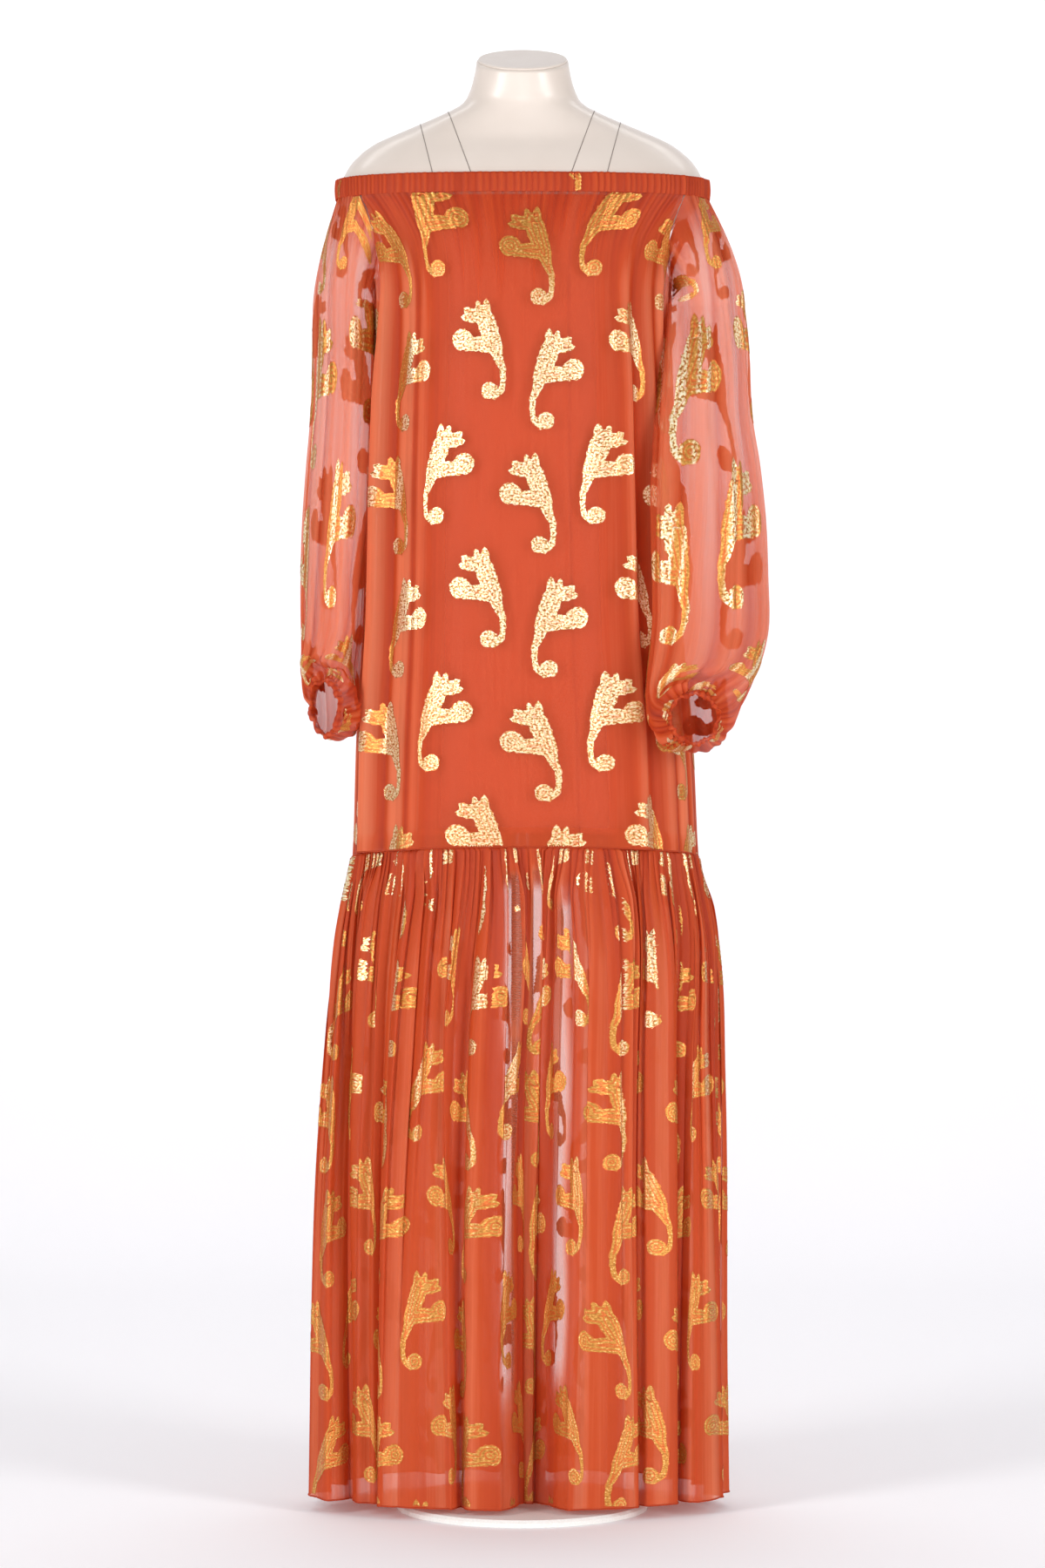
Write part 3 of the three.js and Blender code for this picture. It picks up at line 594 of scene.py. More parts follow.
def skirtPanel(side):
    middle = panelMiddle[side]
    turn = np.linspace(middle - 90 + seamInset, middle + 90 - seamInset, panelColumns["skirt"])[None, :]
    v = (np.linspace(0, 1, panelRows["skirt"]) ** 1.5)[:, None]
    fall = (seamHeight(turn) - hemHeight(turn)) * v
    grid = skirtSurface(turn + 0 * v, fall)
    across = turn / 360 * skirt["flatWidth"]
    seen = {"plies": skirtPlies(turn, fall), "creaseShade": skirtCreaseShade(turn, fall)}
    piece = sheetMesh(f"skirt_{side}_cloth", grid, chiffon, across, fall, **seen)
    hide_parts(f"skirt_{side}")
    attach(piece, "root")
    return piece, grid[-1]


# A round thread along a line of points, used for rolled hems and stitched seams
def thread(name, line, radius, material, around=False):
    sides = 8
    line = np.asarray(line)
    ahead = np.roll(line, -1, 0) - np.roll(line, 1, 0)
    if not around:
        ahead[0] = line[1] - line[0]
        ahead[-1] = line[-1] - line[-2]
    ahead /= np.linalg.norm(ahead, axis=1)[:, None]
    up = np.tile([0.0, 0.0, 1.0], (len(line), 1))
    flat = np.abs(ahead[:, 2]) > 0.95
    up[flat] = [1.0, 0.0, 0.0]
    side = np.cross(ahead, up)
    side /= np.linalg.norm(side, axis=1)[:, None]
    rise = np.cross(side, ahead)
    angles = np.linspace(0, 2 * np.pi, sides, endpoint=False)
    rings = [line + radius * (np.cos(a) * side + np.sin(a) * rise) for a in angles]
    grid = np.stack(rings, 0)
    return closedTube(name, grid, material, around)


def closedTube(name, grid, material, around):
    sides, count = grid.shape[:2]
    index = np.arange(sides * count).reshape(sides, count)
    index = np.vstack([index, index[:1]])
    if around:
        index = np.hstack([index, index[:, :1]])
    quads = np.stack([index[:-1, :-1], index[:-1, 1:], index[1:, 1:], index[1:, :-1]], -1).reshape(-1, 4)
    points = grid.reshape(-1, 3)
    uv = np.stack([points[:, 0] + points[:, 1], points[:, 2]], -1)
    faces = quads.tolist()
    if not around:
        faces.append([int(k) for k in index[:-1, 0]])
        faces.append([int(k) for k in index[:-1, -1][::-1]])
    return mesh(name, points, faces, material, uv, {"cover": 0.95, "depthAndShade": 0.3})


bodiceSheets = {side: bodicePanel(side) for side in panelMiddle}
skirtSheets = {}
hemLines = {}
for side in panelMiddle:
    skirtSheets[side], hemLines[side] = skirtPanel(side)
print("bodice and skirt sheets made")

# Neckline band: a casing gathered on elastic, outside, over the top edge and down inside
band = {"gathers": 170, "rise": 0.0019, "side": 0.0014, "depth": 0.0008, "thickness": 0.0024, "columns": 1140}


def bandSurface(turn, path):
    half = band["thickness"] / 2
    height = dress["bandHeight"] - half
    outside = np.clip(path / height, 0, 1)
    over = np.clip((path - height) / (math.pi * half), 0, 1)
    inside = np.clip((path - height - math.pi * half) / height, 0, 1)
    top = dress["necklineTop"] - dress["bandHeight"]
    z = top + height * outside - height * inside + half * np.sin(np.pi * over)
    back = half * (1 - np.cos(np.pi * over))
    ridge = gathers(turn, band["gathers"], 41)
    bulge = 0.0008 * np.sin(np.pi * outside) * (1 - inside)
    out = (band["rise"] * ridge + bulge) * (1 - inside) - back
    z = z + 0.0006 * ridge * np.sin(np.pi * over)
    section = bodiceSections.copy()
    section[:, 1] += band["side"]
    section[:, 2:4] += band["depth"]
    spot = foldedPoint(section, turn, top + 0 * turn, out, 0.5 * out)
    spot[..., 2] = z
    return spot


def necklineBand():
    turn = np.linspace(0, 360, band["columns"], endpoint=False)[None, :]
    length = 2 * (dress["bandHeight"] - band["thickness"] / 2) + math.pi * band["thickness"] / 2
    path = np.linspace(0, length, 22)[:, None]
    grid = bandSurface(turn + 0 * path, path + 0 * turn)[::-1]
    # Painted shade between the band's gathers
    creaseShade = 0.05 + 0.38 * np.clip(1 - gathers(turn, band["gathers"], 41), 0, 1) ** 1.5 + 0 * path
    piece = sheetMesh("neckline_band_cloth", grid, chiffon, turn / 360 * 1.7, path, True, creaseShade=creaseShade)
    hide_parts("neckline_band")
    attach(piece, "root")
    return piece


bandSheet = necklineBand()

# Lining slip: one opaque tube inside the bodice
liningSlip = {"below": 0.003, "ease": 0.0038, "hangingEase": 0.0084, "settle": 0.110, "aboveSeam": 0.015}


def liningSurface(turn, z):
    hang = ramp(dress["necklineTop"] - dress["bandHeight"] - z, 0, liningSlip["settle"])
    inset = liningSlip["ease"] + (liningSlip["hangingEase"] - liningSlip["ease"]) * hang
    x, y = planPoint(bodiceSections, turn, z, inset)
    return np.stack([x, y, z + 0 * x], -1)


def lining():
    turn = np.linspace(0, 360, 220, endpoint=False)[None, :]
    v = np.linspace(0, 1, 60)[:, None]
    top = bodiceTop(turn) - liningSlip["below"]
    bottom = seamHeight(turn) + liningSlip["aboveSeam"]
    z = top + (bottom - top) * v
    grid = liningSurface(turn + 0 * v, z)
    piece = sheetMesh("lining_slip_cloth", grid, crepe, turn / 360, -z, around=True)
    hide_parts("lining_slip")
    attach(piece, "root")
    return piece


lining()
print("band and lining made")

# Sleeves: rings of middle x, y, z, half size across, half size through, turn, tip
sleeveRings = {
    "left": [
        (0.210, -0.020, 1.350, 0.038, 0.042, 14, 0), (0.208, -0.042, 1.290, 0.046, 0.037, 26, 0),
        (0.206, -0.054, 1.230, 0.053, 0.036, 32, 0), (0.209, -0.065, 1.170, 0.061, 0.037, 32, 0),
        (0.210, -0.074, 1.110, 0.066, 0.039, 30, 0), (0.209, -0.080, 1.050, 0.068, 0.041, 27, 0),
        (0.208, -0.089, 0.995, 0.068, 0.043, 24, 0), (0.201, -0.099, 0.952, 0.063, 0.045, 20, 8),
        (0.193, -0.107, 0.920, 0.056, 0.047, 15, 30), (0.189, -0.114, 0.902, 0.049, 0.046, 11, 54),
        (0.188, -0.122, 0.894, 0.043, 0.041, 8, 74), (0.188, -0.132, 0.891, 0.033, 0.033, 6, 84),
        (0.188, -0.141, 0.891, 0.027, 0.028, 5, 88),
    ],
    "right": [
        (-0.203, -0.004, 1.350, 0.031, 0.045, 0, 0), (-0.203, -0.008, 1.290, 0.031, 0.048, 0, 0),
        (-0.205, -0.012, 1.230, 0.031, 0.051, 0, 0), (-0.208, -0.015, 1.170, 0.033, 0.054, 0, 0),
        (-0.211, -0.017, 1.110, 0.034, 0.056, 0, 0), (-0.213, -0.018, 1.050, 0.034, 0.057, -2, 0),
        (-0.213, -0.019, 1.000, 0.034, 0.057, -5, 0), (-0.215, -0.022, 0.960, 0.030, 0.056, -9, 8),
        (-0.215, -0.028, 0.934, 0.029, 0.053, -16, 28), (-0.213, -0.037, 0.916, 0.029, 0.048, -24, 52),
        (-0.211, -0.048, 0.909, 0.031, 0.042, -32, 72), (-0.213, -0.058, 0.905, 0.026, 0.036, -37, 84),
        (-0.216, -0.066, 0.903, 0.021, 0.032, -40, 88),
    ],
}
sleeve = {
    "topRows": 4,
    "topSpan": 110,
    "joinOut": 0.0019,
    "joinPower": 6,
    "columns": 220,
    "rows": 150,
    "flatWidth": 0.38,
    "length": 0.62,
    "wristGathers": 30,
}


def ringPoint(table, place, angle):
    x, y, z, side, back, turn, tip = (tableValue(table, k, place) for k in range(1, 8))
    turn = np.radians(turn)
    tip = np.radians(tip)
    c = side * np.cos(angle)
    s = back * np.sin(angle)
    px = x + c * np.cos(turn) - s * np.sin(turn) * np.cos(tip)
    py = y + c * np.sin(turn) + s * np.cos(turn) * np.cos(tip)
    pz = z - s * np.sin(tip)
    return np.stack([px, py, pz], -1)


def sleeveTop(outward, angle):
    fromOuter = np.degrees(np.arccos(np.clip(np.cos(angle) * outward, -1, 1)))
    toBack = np.where(np.sin(angle) > 0, 1, -1)
    onBand = fromOuter <= sleeve["topSpan"]
    share = np.where(onBand, fromOuter / sleeve["topSpan"], (180 - fromOuter) / (180 - sleeve["topSpan"]))
    turn = outward * (90 + toBack * dress["armholeTurn"] * share)
    z = np.where(onBand, dress["necklineTop"] - dress["bandHeight"], bodiceTop(turn) - 0.0003)
    x, y = planPoint(bodiceSections, turn, z)
    shift = sleeve["joinOut"] * np.where(onBand, share ** sleeve["joinPower"], 1)
    return np.stack([x + outward * shift, y, z], -1)


def sleeveShape(side, angle, place):
    outward = 1 if side == "left" else -1
    table = np.array([(k, *row) for k, row in enumerate(sleeveRings[side])])
    low = ringPoint(table, np.maximum(place, 0), angle)
    share = np.clip(1 + place / sleeve["topRows"], 0, 1)
    spread = np.sin(share * np.pi / 2)
    start = sleeveTop(outward, angle)
    mix = np.stack([spread, spread, share], -1)
    high = start + (low - start) * mix
    return np.where((place < 0)[..., None], high, low)


def sleeveSurface(side, angle, place):
    step = 0.01
    spot = sleeveShape(side, angle, place)
    last = len(sleeveRings[side]) - 1
    aroundTube = sleeveShape(side, angle + step, place) - sleeveShape(side, angle - step, place)
    down = sleeveShape(side, angle, np.minimum(place + step, last)) - sleeveShape(side, angle, place - step)
    aroundTube /= np.linalg.norm(aroundTube, axis=-1)[..., None]
    out = np.cross(down, aroundTube)
    out /= np.linalg.norm(out, axis=-1)[..., None]
    turn = np.degrees(angle)
    seed = 100 if side == "left" else 140
    body = ramp(place, -4, 1) * (1 - ramp(place, 7, 11))
    waves = 0.0052 * (gathers(turn + 9 * wander(turn, seed, 1, 3) * place / 12, 9, seed + 1) - 0.4)
    waves = waves + 0.0026 * gathers(turn + 6 * wander(turn, seed + 3, 1, 4) * place / 12, 21, seed + 4)
    wrist = 0.0052 * gathers(turn, 16, seed + 8) * ramp(place, 5.5, 9) * (1 - ramp(place, 9.5, 12))
    wrist = wrist + 0.0030 * gathers(turn, sleeve["wristGathers"], seed + 6) * ramp(place, 8, 11.5)
    head = 0.0018 * gathers(turn, 34, seed + 10) * (1 - ramp(place, -4, -1))
    inner = np.maximum(-np.cos(angle) * (1 if side == "left" else -1), 0) ** 2
    towardsBody = 0.010 * inner * ramp(place, -2.5, -0.5) * (1 - ramp(place, 3, 6))
    move = waves * body + wrist + head + towardsBody
    lean = 0.9 * np.tanh(2 * wander(turn, seed + 12, 1, 5))
    return spot + out * move[..., None] + aroundTube * (lean * move)[..., None]


def sleevePlies(side, angle, place):
    turn = np.degrees(angle)
    seed = 100 if side == "left" else 140
    drifted = turn + 9 * wander(turn, seed, 1, 3) * place / 12
    folds = overlaps(drifted, 9, seed + 1, 0.42) + 0.6 * overlaps(drifted, 21, seed + 4, 0.35)
    ends = 0.7 * ramp(place, 7, 11.5) + 0.9 * (1 - ramp(place, -4, -2))
    return 1.05 + 0.40 * folds + 0.7 * ramp(place, 2, 8) + ends


# Painted shade: darker lines down the sleeve's folds, and between the gathers at its head and its wrist
def sleeveCreaseShade(side, angle, place):
    turn = np.degrees(angle)
    seed = 100 if side == "left" else 140
    folds = 1 - gathers(turn + 9 * wander(turn, seed, 1, 3) * place / 12, 9, seed + 1)
    wrist = 1 - gathers(turn, sleeve["wristGathers"], seed + 6)
    head = 1 - gathers(turn, 34, seed + 10)
    below = 0.35 * folds**3 + 0.45 * wrist**2 * ramp(place, 7, 10)
    return below + 0.40 * head**2 * (1 - ramp(place, -4, -1.5))


def sleeveSheet(side):
    angle = np.linspace(0, 2 * np.pi, sleeve["columns"], endpoint=False)[None, :]
    last = len(sleeveRings[side]) - 1
    place = np.linspace(-sleeve["topRows"], last, sleeve["rows"])[:, None]
    grid = sleeveSurface(side, angle + 0 * place, place + 0 * angle)
    down = sleeve["length"] * (place + sleeve["topRows"]) / (last + sleeve["topRows"])
    across = angle / (2 * np.pi) * sleeve["flatWidth"]
    seen = {"plies": sleevePlies(side, angle, place), "creaseShade": sleeveCreaseShade(side, angle, place)}
    piece = sheetMesh(f"sleeve_{side}_cloth", grid, chiffon, across, down, around=True, **seen)
    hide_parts(f"sleeve_{side}")
    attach(piece, "root")
    return piece


sleeveSheets = {side: sleeveSheet(side) for side in sleeveRings}

# Cuffs: a narrow casing on elastic that carries on from the sleeve's last ring
cuff = {"depth": 0.009, "gathers": 26, "rise": 0.0024, "thickness": 0.0022, "ruffle": 0.0032, "columns": 272}


def cuffSheet(side):
    table = np.array([(k, *row) for k, row in enumerate(sleeveRings[side])])
    last = table[-1, 0]
    turn, tip = np.radians(table[-1, 6:8])
    ahead = np.array([math.sin(turn) * math.sin(tip), -math.cos(turn) * math.sin(tip), -math.cos(tip)])
    angle = np.linspace(0, 2 * np.pi, cuff["columns"], endpoint=False)[None, :]
    half = cuff["thickness"] / 2
    height = cuff["depth"] - half
    length = 2 * height + math.pi * half
    path = np.linspace(0, length, 14)[:, None]
    outside = np.clip(path / height, 0, 1)
    over = np.clip((path - height) / (math.pi * half), 0, 1)
    inside = np.clip((path - height - math.pi * half) / height, 0, 1)
    forward = height * outside - height * inside + half * np.sin(np.pi * over)
    ruffle = cuff["ruffle"] * wander(np.degrees(angle), 211, 2, 9)
    forward = forward + ruffle * np.clip(forward / height, 0, 1)
    back = half * (1 - np.cos(np.pi * over))
    base = ringPoint(table, last + 0 * angle, angle)
    middle = table[-1, 1:4]
    radial = (base - middle) / np.linalg.norm(base - middle, axis=-1)[..., None]
    ridge = gathers(np.degrees(angle), cuff["gathers"], 201)
    inward = (0.0022 + 0.0026 * wander(np.degrees(angle), 217, 2, 12)) * over * (1 - inside)
    out = (cuff["rise"] * ridge + 0.5 * ruffle * outside) * (1 - inside) - back - inward + 0.0006
    # Painted shade between the cuff's gathers
    creaseShade = 0.1 + 0.5 * np.clip(1 - ridge, 0, 1) ** 1.5 + 0 * path
    grid = base + radial * out[..., None] + ahead * (forward + 0 * angle)[..., None]
    piece = sheetMesh(f"cuff_{side}_cloth", grid, chiffon, angle * 0.04, path, True, plies=2.6, creaseShade=creaseShade)
    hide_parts(f"cuff_{side}")
    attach(piece, "root")
    return piece


for side in sleeveRings:
    cuffSheet(side)
print("sleeves and cuffs made")

# The woven scroll, in millimetres from its middle: a stem that ends in a round curl, a side hook with its own
# curl, and a fan of small leaves. Each row is x, y and the width there
scroll = {
    "strokes": [
        [(-4, 45, 16), (-8, 34, 21), (-13, 20, 20), (-18, 6, 18), (-22, -6, 12), (-27, -19, 8), (-28, -33, 7),
         (-25, -44, 7), (-17, -50, 7)],
        [(-14, 7, 18), (-2, 8, 18), (9, 8, 15), (18, 11, 16)],
        [(-8, 40, 14), (-9, 50, 9), (-9, 56, 5)],
        [(-4, 44, 12), (0, 50, 8), (1, 54, 5)],
        [(-4, 40, 16), (8, 42, 12), (14, 46, 8)],
        [(-2, 37, 14), (9, 37, 10), (17, 38, 8)],
    ],
    "curls": [(-13, -43, 9.5), (19, 13, 12)],
    "spacing": 2.4,
    "ragged": 0.55,
}


# A smooth line through rows of numbers, with steps of about the given length
def smoothLine(rows, step):
    rows = np.array(rows, float)
    ends = np.vstack([2 * rows[0] - rows[1], rows, 2 * rows[-1] - rows[-2]])
    made = []
    for k in range(1, len(rows)):
        a, b, c, d = ends[k - 1], ends[k], ends[k + 1], ends[k + 2]
        count = max(int(np.linalg.norm((c - b)[:2]) / step), 2)
        for t in np.linspace(0, 1, count, endpoint=False):
            square = (2 * a - 5 * b + 4 * c - d) * t**2
            cube = (3 * b - 3 * c + d - a) * t**3
            made.append(0.5 * ((2 * b) + (c - a) * t + square + cube))
    made.append(rows[-1])
    return np.array(made)


def strokeOutline(rows, step, generator):
    line = smoothLine(rows, step)
    ahead = np.gradient(line[:, :2], axis=0)
    ahead /= np.linalg.norm(ahead, axis=1)[:, None]
    side = np.stack([-ahead[:, 1], ahead[:, 0]], -1)
    half = line[:, 2:3] / 2
    rough = generator.normal(0, scroll["ragged"], (2, len(line), 1))
    left = line[:, :2] + side * (half + rough[0])
    right = line[:, :2] - side * (half + rough[1])
    tip = line[-1:, :2] + ahead[-1:] * half[-1:]
    return np.vstack([left, tip, right[::-1]])


def scrollPatch():
    generator = np.random.default_rng(7)
    step = scroll["spacing"]
    outlines = [strokeOutline(rows, step, generator) for rows in scroll["strokes"]]
    for x, y, radius in scroll["curls"]:
        count = int(2 * math.pi * radius / step)
        angle = np.linspace(0, 2 * np.pi, count, endpoint=False)
        reach = radius + generator.normal(0, scroll["ragged"], count)
        outlines.append(np.stack([x + reach * np.cos(angle), y + reach * np.sin(angle)], -1))
    points = [Vector(p) for outline in outlines for p in outline]
    faces = []
    start = 0
    for outline in outlines:
        faces.append(list(range(start, start + len(outline))))
        start += len(outline)
    for row, y in enumerate(np.arange(-56, 56, step * 0.87)):
        for x in np.arange(-30, 34, step):
            points.append(Vector((x + (row % 2) * step / 2, y)))
    made = delaunay_2d_cdt(points, [], faces, 1, 1e-3)
    spots = np.array([tuple(p) for p in made[0]])
    triangles = np.array([t for t in made[2]])
    used, renumbered = np.unique(triangles, return_inverse=True)
    return spots[used] / 1000, renumbered.reshape(-1, 3), fromEdge(spots[used])


# How many millimetres each spot lies inside the scroll's edge, which the veins of the weave follow
def fromEdge(spots):
    depth = np.full(len(spots), -1e3)
    for rows in scroll["strokes"]:
        line = smoothLine(rows, 0.8)
        gap = np.linalg.norm(spots[:, None, :] - line[None, :, :2], axis=-1)
        depth = np.maximum(depth, (line[None, :, 2] / 2 - gap).max(1))
    for x, y, radius in scroll["curls"]:
        depth = np.maximum(depth, radius - np.hypot(spots[:, 0] - x, spots[:, 1] - y))
    return depth


patchPoints, patchFaces, patchDepth = scrollPatch()
print("scroll patch has", len(patchFaces), "triangles")

pattern = {
    "columnPitch": 0.089,
    "rowPitch": {"bodice": 0.1365, "skirt": 0.127, "sleeve": 0.1365},
    "skirtFullness": 1.60,
    "shift": 0.034,
    "stagger": 0.033,
    "sway": {"bodice": 0, "skirt": 0.16, "sleeve": 0.1},
    "proud": 0.0004,
}


# Places of the scrolls on flat cloth: middle across, middle down, mirrored or not, and how far it leans
def scrollPlaces(panel, acrossFrom, acrossTo, firstAcross, firstDown):
    places = []
    for row in range(-1, 7):
        for column in range(-30, 31):
            even = column % 2 == 0
            across = firstAcross + column * pattern["columnPitch"] + (row % 2) * pattern["shift"]
            down = firstDown + row * pattern["rowPitch"][panel] + even * pattern["stagger"]
            if acrossFrom <= across < acrossTo:
                sway = pattern["sway"][panel] * math.sin(2.3 * column + 1.7 * row)
                places.append((across, down, (column + row) % 2 == 0, sway))
    return places


# Lays one patch for each place on a surface given by cloth sizes, and drops what falls outside the panel
def scrollsOn(name, side, places, surface, inside, highlightOf):
    allPoints, allFaces, allUv, allDepth, allHighlight = [], [], [], [], []
    start = 0
    step = 0.0008
    for across, down, mirrored, sway in places:
        x = across + patchPoints[:, 0] * (-1 if mirrored else 1) + patchPoints[:, 1] * sway
        y = down - patchPoints[:, 1]
        faces = patchFaces[:, ::-1] if mirrored else patchFaces
        faces = faces[inside(side, x[faces].mean(1), y[faces].mean(1))]
        if not len(faces):
            continue
        used, renumbered = np.unique(faces, return_inverse=True)
        x, y = x[used], y[used]
        spot = surface(side, x, y)
        right = surface(side, x + step, y) - spot
        below = surface(side, x, y + step) - spot
        out = np.cross(below, right)
        out /= np.maximum(np.linalg.norm(out, axis=-1), 1e-12)[:, None]
        allPoints.append(spot + out * pattern["proud"])
        allFaces.append(renumbered.reshape(-1, 3) + start)
        allUv.append(np.stack([x, y], -1))
        allDepth.append(patchDepth[used])
        # Painted highlight share of each spot
        allHighlight.append(highlightOf(side, x, y))
        start += len(used)
    looks = {"depth": np.concatenate(allDepth), "painted_highlight": np.concatenate(allHighlight)}
    piece = mesh(name, np.vstack(allPoints), np.vstack(allFaces), gold, np.vstack(allUv), looks)
    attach(piece, "root")
    return piece


# Turn for each distance across the flat cloth, measured along the outline at one height with its folds
def turnTable(surface, height, middle, fullness=1.0):
    turn = np.linspace(-100, 100, 2001)
    line = surface(middle + turn, height + 0 * turn)
    steps = np.linalg.norm(np.diff(line, axis=0), axis=1)
    length = np.concatenate([[0], np.cumsum(steps)])
    return (length - np.interp(0, turn, length)) * fullness, turn + middle


def plainSkirt(turn, fall):
    share = np.clip(fall / 0.72, 0, 1)
    out = foldsAt(skirtFolds, turn) * share ** skirt["growth"]
    return foldedPoint(skirtSections, turn, seamHeight(turn) - fall, out, 0 * out)


def plainBodice(turn, z):
    return foldedPoint(bodiceSections, turn, z, 1.6 * foldsAt(bodiceFolds, turn), 0 * turn)


neck = dress["necklineTop"] - dress["bandHeight"]
bodiceTurns = {}
skirtTurns = {}
for side, middle in panelMiddle.items():
    bodiceTurns[side] = turnTable(plainBodice, 1.15, middle)
    skirtTurns[side] = turnTable(plainSkirt, 0.60, middle, pattern["skirtFullness"])


# How far a turn lies from the middle of its panel
def fromMiddle(side, turn):
    return np.abs(turnBetween(turn, panelMiddle[side]))


def bodiceCloth(side, x, y):
    return bodiceSurface(np.interp(x, *bodiceTurns[side]), neck - y)


def onBodice(side, x, y):
    turn = np.interp(x, *bodiceTurns[side])
    z = neck - y
    beside = fromMiddle(side, turn) < 89.6
    return beside & (z < bodiceTop(turn) - 0.0015) & (z > seamHeight(turn) + 0.0015)


# Painted highlight on the scrolls: the front faces the light below the chest, and its sides only on some
# folds
def bodicePaintedHighlight(side, x, y):
    turn = np.interp(x, *bodiceTurns[side])
    turned = 0.5 + 0.5 * wander(turn + 40 * y, 93, 8, 40)
    beside = ramp(fromMiddle(side, turn), 26, 50)
    return ramp(y, 0.07, 0.16) * (1 - 0.35 * ramp(y, 0.5, 0.7)) * (1 - beside * ramp(turned, 0.45, 0.6))


def bandCloth(side, x, y):
    return bandSurface(np.interp(x, *bodiceTurns[side]), -y)


def onBand(side, x, y):
    turn = np.interp(x, *bodiceTurns[side])
    seen = gathers(turn, band["gathers"], 41) > 0.35
    return seen & (fromMiddle(side, turn) < 89) & (y < -0.0008) & (y > 0.003 - dress["bandHeight"])


def skirtCloth(side, x, y):
    return skirtSurface(np.interp(x, *skirtTurns[side]), y)


# The creases between gathers hide a scroll near the drop seam
def onSkirt(side, x, y):
    turn = np.interp(x, *skirtTurns[side])
    beside = fromMiddle(side, turn) < 89.6
    fine = skirtRidge(0, turn, y) > 0.34 * (1 - ramp(y, 0.04, 0.12))
    small = skirtRidge(1, turn, y) > 0.26 * (1 - ramp(y, 0.10, 0.26))
    return beside & fine & small & (y > 0.002) & (y < seamHeight(turn) - hemHeight(turn) - 0.003)


# Painted highlight on the skirt scrolls: glints on the gathers, fewer further down, and a bright band just
# under the drop seam
def skirtPaintedHighlight(side, x, y):
    glints = wander(np.interp(x, *skirtTurns[side]), 95, 30, 90)
    fading = 1 - 0.92 * ramp(y, 0.12, 0.45)
    return 0.80 * ramp(glints, 0.30, 0.6) * fading + 0.6 * (1 - ramp(y, 0.03, 0.07))


def sleeveCloth(side, x, y):
    rows = len(sleeveRings[side]) - 1 + sleeve["topRows"]
    place = np.clip(y / sleeve["length"], 0, 1) * rows - sleeve["topRows"]
    return sleeveSurface(side, x / sleeve["flatWidth"] * 2 * np.pi, place)


def onSleeve(side, x, y):
    return (y > 0.002) & (y < sleeve["length"] - 0.004)


# Painted highlight on the sleeve scrolls, on some of its folds and not at its head
def sleevePaintedHighlight(side, x, y):
    turned = wander(x / sleeve["flatWidth"] * 360 + 60 * y, 97, 5, 30)
    return ramp(turned, 0.0, 0.3) * ramp(y, 0.06, 0.12)


bandPlaces = [(0.022 + 0.22 * k, -0.030, k == 0, 0) for k in (-1, 0, 1)]
for side in panelMiddle:
    reach = bodiceTurns[side][0]
    places = scrollPlaces("bodice", reach[0], reach[-1], 0.005 if side == "front" else 0.03, 0.043)
    name = f"bodice_{side}_scrolls"
    scrollsOn(name, side, places, bodiceCloth, onBodice, bodicePaintedHighlight)
    name = f"neckline_band_{side}_scrolls"
    scrollsOn(name, side, bandPlaces, bandCloth, onBand, bodicePaintedHighlight)
    reach = skirtTurns[side][0]
    places = scrollPlaces("skirt", reach[0], reach[-1], 0.020, 0.018)
    name = f"skirt_{side}_scrolls"
    scrollsOn(name, side, places, skirtCloth, onSkirt, skirtPaintedHighlight)
for side in sleeveRings:
    places = scrollPlaces("sleeve", 0, sleeve["flatWidth"] - 0.03, 0.035, 0.050)
    name = f"sleeve_{side}_scrolls"
    scrollsOn(name, side, places, sleeveCloth, onSleeve, sleevePaintedHighlight)
print("scrolls laid")

# Rolled hem and the corded drop seam
trims = {"hemRadius": 0.0009, "seamRadius": 0.0008}
for side, middle in panelMiddle.items():
    hem = thread(f"skirt_{side}_hem", hemLines[side], trims["hemRadius"], rolled)
    turn = np.linspace(middle - 90 + seamInset, middle + 90 - seamInset, 460)
    seamLine = bodiceSurface(turn, seamHeight(turn))
    seam = thread(f"drop_seam_{side}", seamLine, trims["seamRadius"], rolled)
    for piece in (hem, seam):
        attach(piece, "root")
print("trims made")

# The dress form: height, half width, front, back, squareness, shift, lean in degrees
formSections = np.array([
    (0.826, 0.138, 0.083, 0.086, 2.2, 0, 0), (0.838, 0.152, 0.091, 0.094, 2.2, 0, 0),
    (0.900, 0.161, 0.095, 0.099, 2.2, 0, 0), (0.965, 0.157, 0.096, 0.098, 2.2, 0, 0),
    (1.050, 0.142, 0.094, 0.094, 2.1, 0, 0), (1.150, 0.116, 0.086, 0.080, 2.1, 0, 0),
    (1.230, 0.120, 0.092, 0.080, 2.1, 0, 0), (1.300, 0.132, 0.106, 0.082, 2.2, 0, 0),
    (1.360, 0.138, 0.110, 0.084, 2.2, 0, 0), (1.410, 0.143, 0.098, 0.083, 2.2, 0, 0),
    (1.440, 0.160, 0.091, 0.084, 2.2, 0, 0), (1.460, 0.192, 0.089, 0.0865, 2.2, 0, 0),
    (1.474, 0.204, 0.090, 0.088, 2.3, 0, 0), (1.486, 0.2062, 0.0935, 0.0915, 2.4, 0, 0),
    (1.498, 0.203, 0.0925, 0.0905, 2.4, 0, 0), (1.518, 0.191, 0.082, 0.082, 2.2, 0.001, 0),
    (1.537, 0.168, 0.070, 0.070, 2.1, 0.002, 0), (1.551, 0.137, 0.064, 0.066, 2, 0.001, 0),
    (1.568, 0.096, 0.057, 0.061, 2, -0.002, 0), (1.581, 0.070, 0.052, 0.056, 2, -0.006, 2),
    (1.596, 0.060, 0.050, 0.051, 2, -0.009, 8), (1.613, 0.055, 0.049, 0.049, 2, -0.012, 14),
    (1.629, 0.052, 0.049, 0.049, 2, -0.014, 20),
])
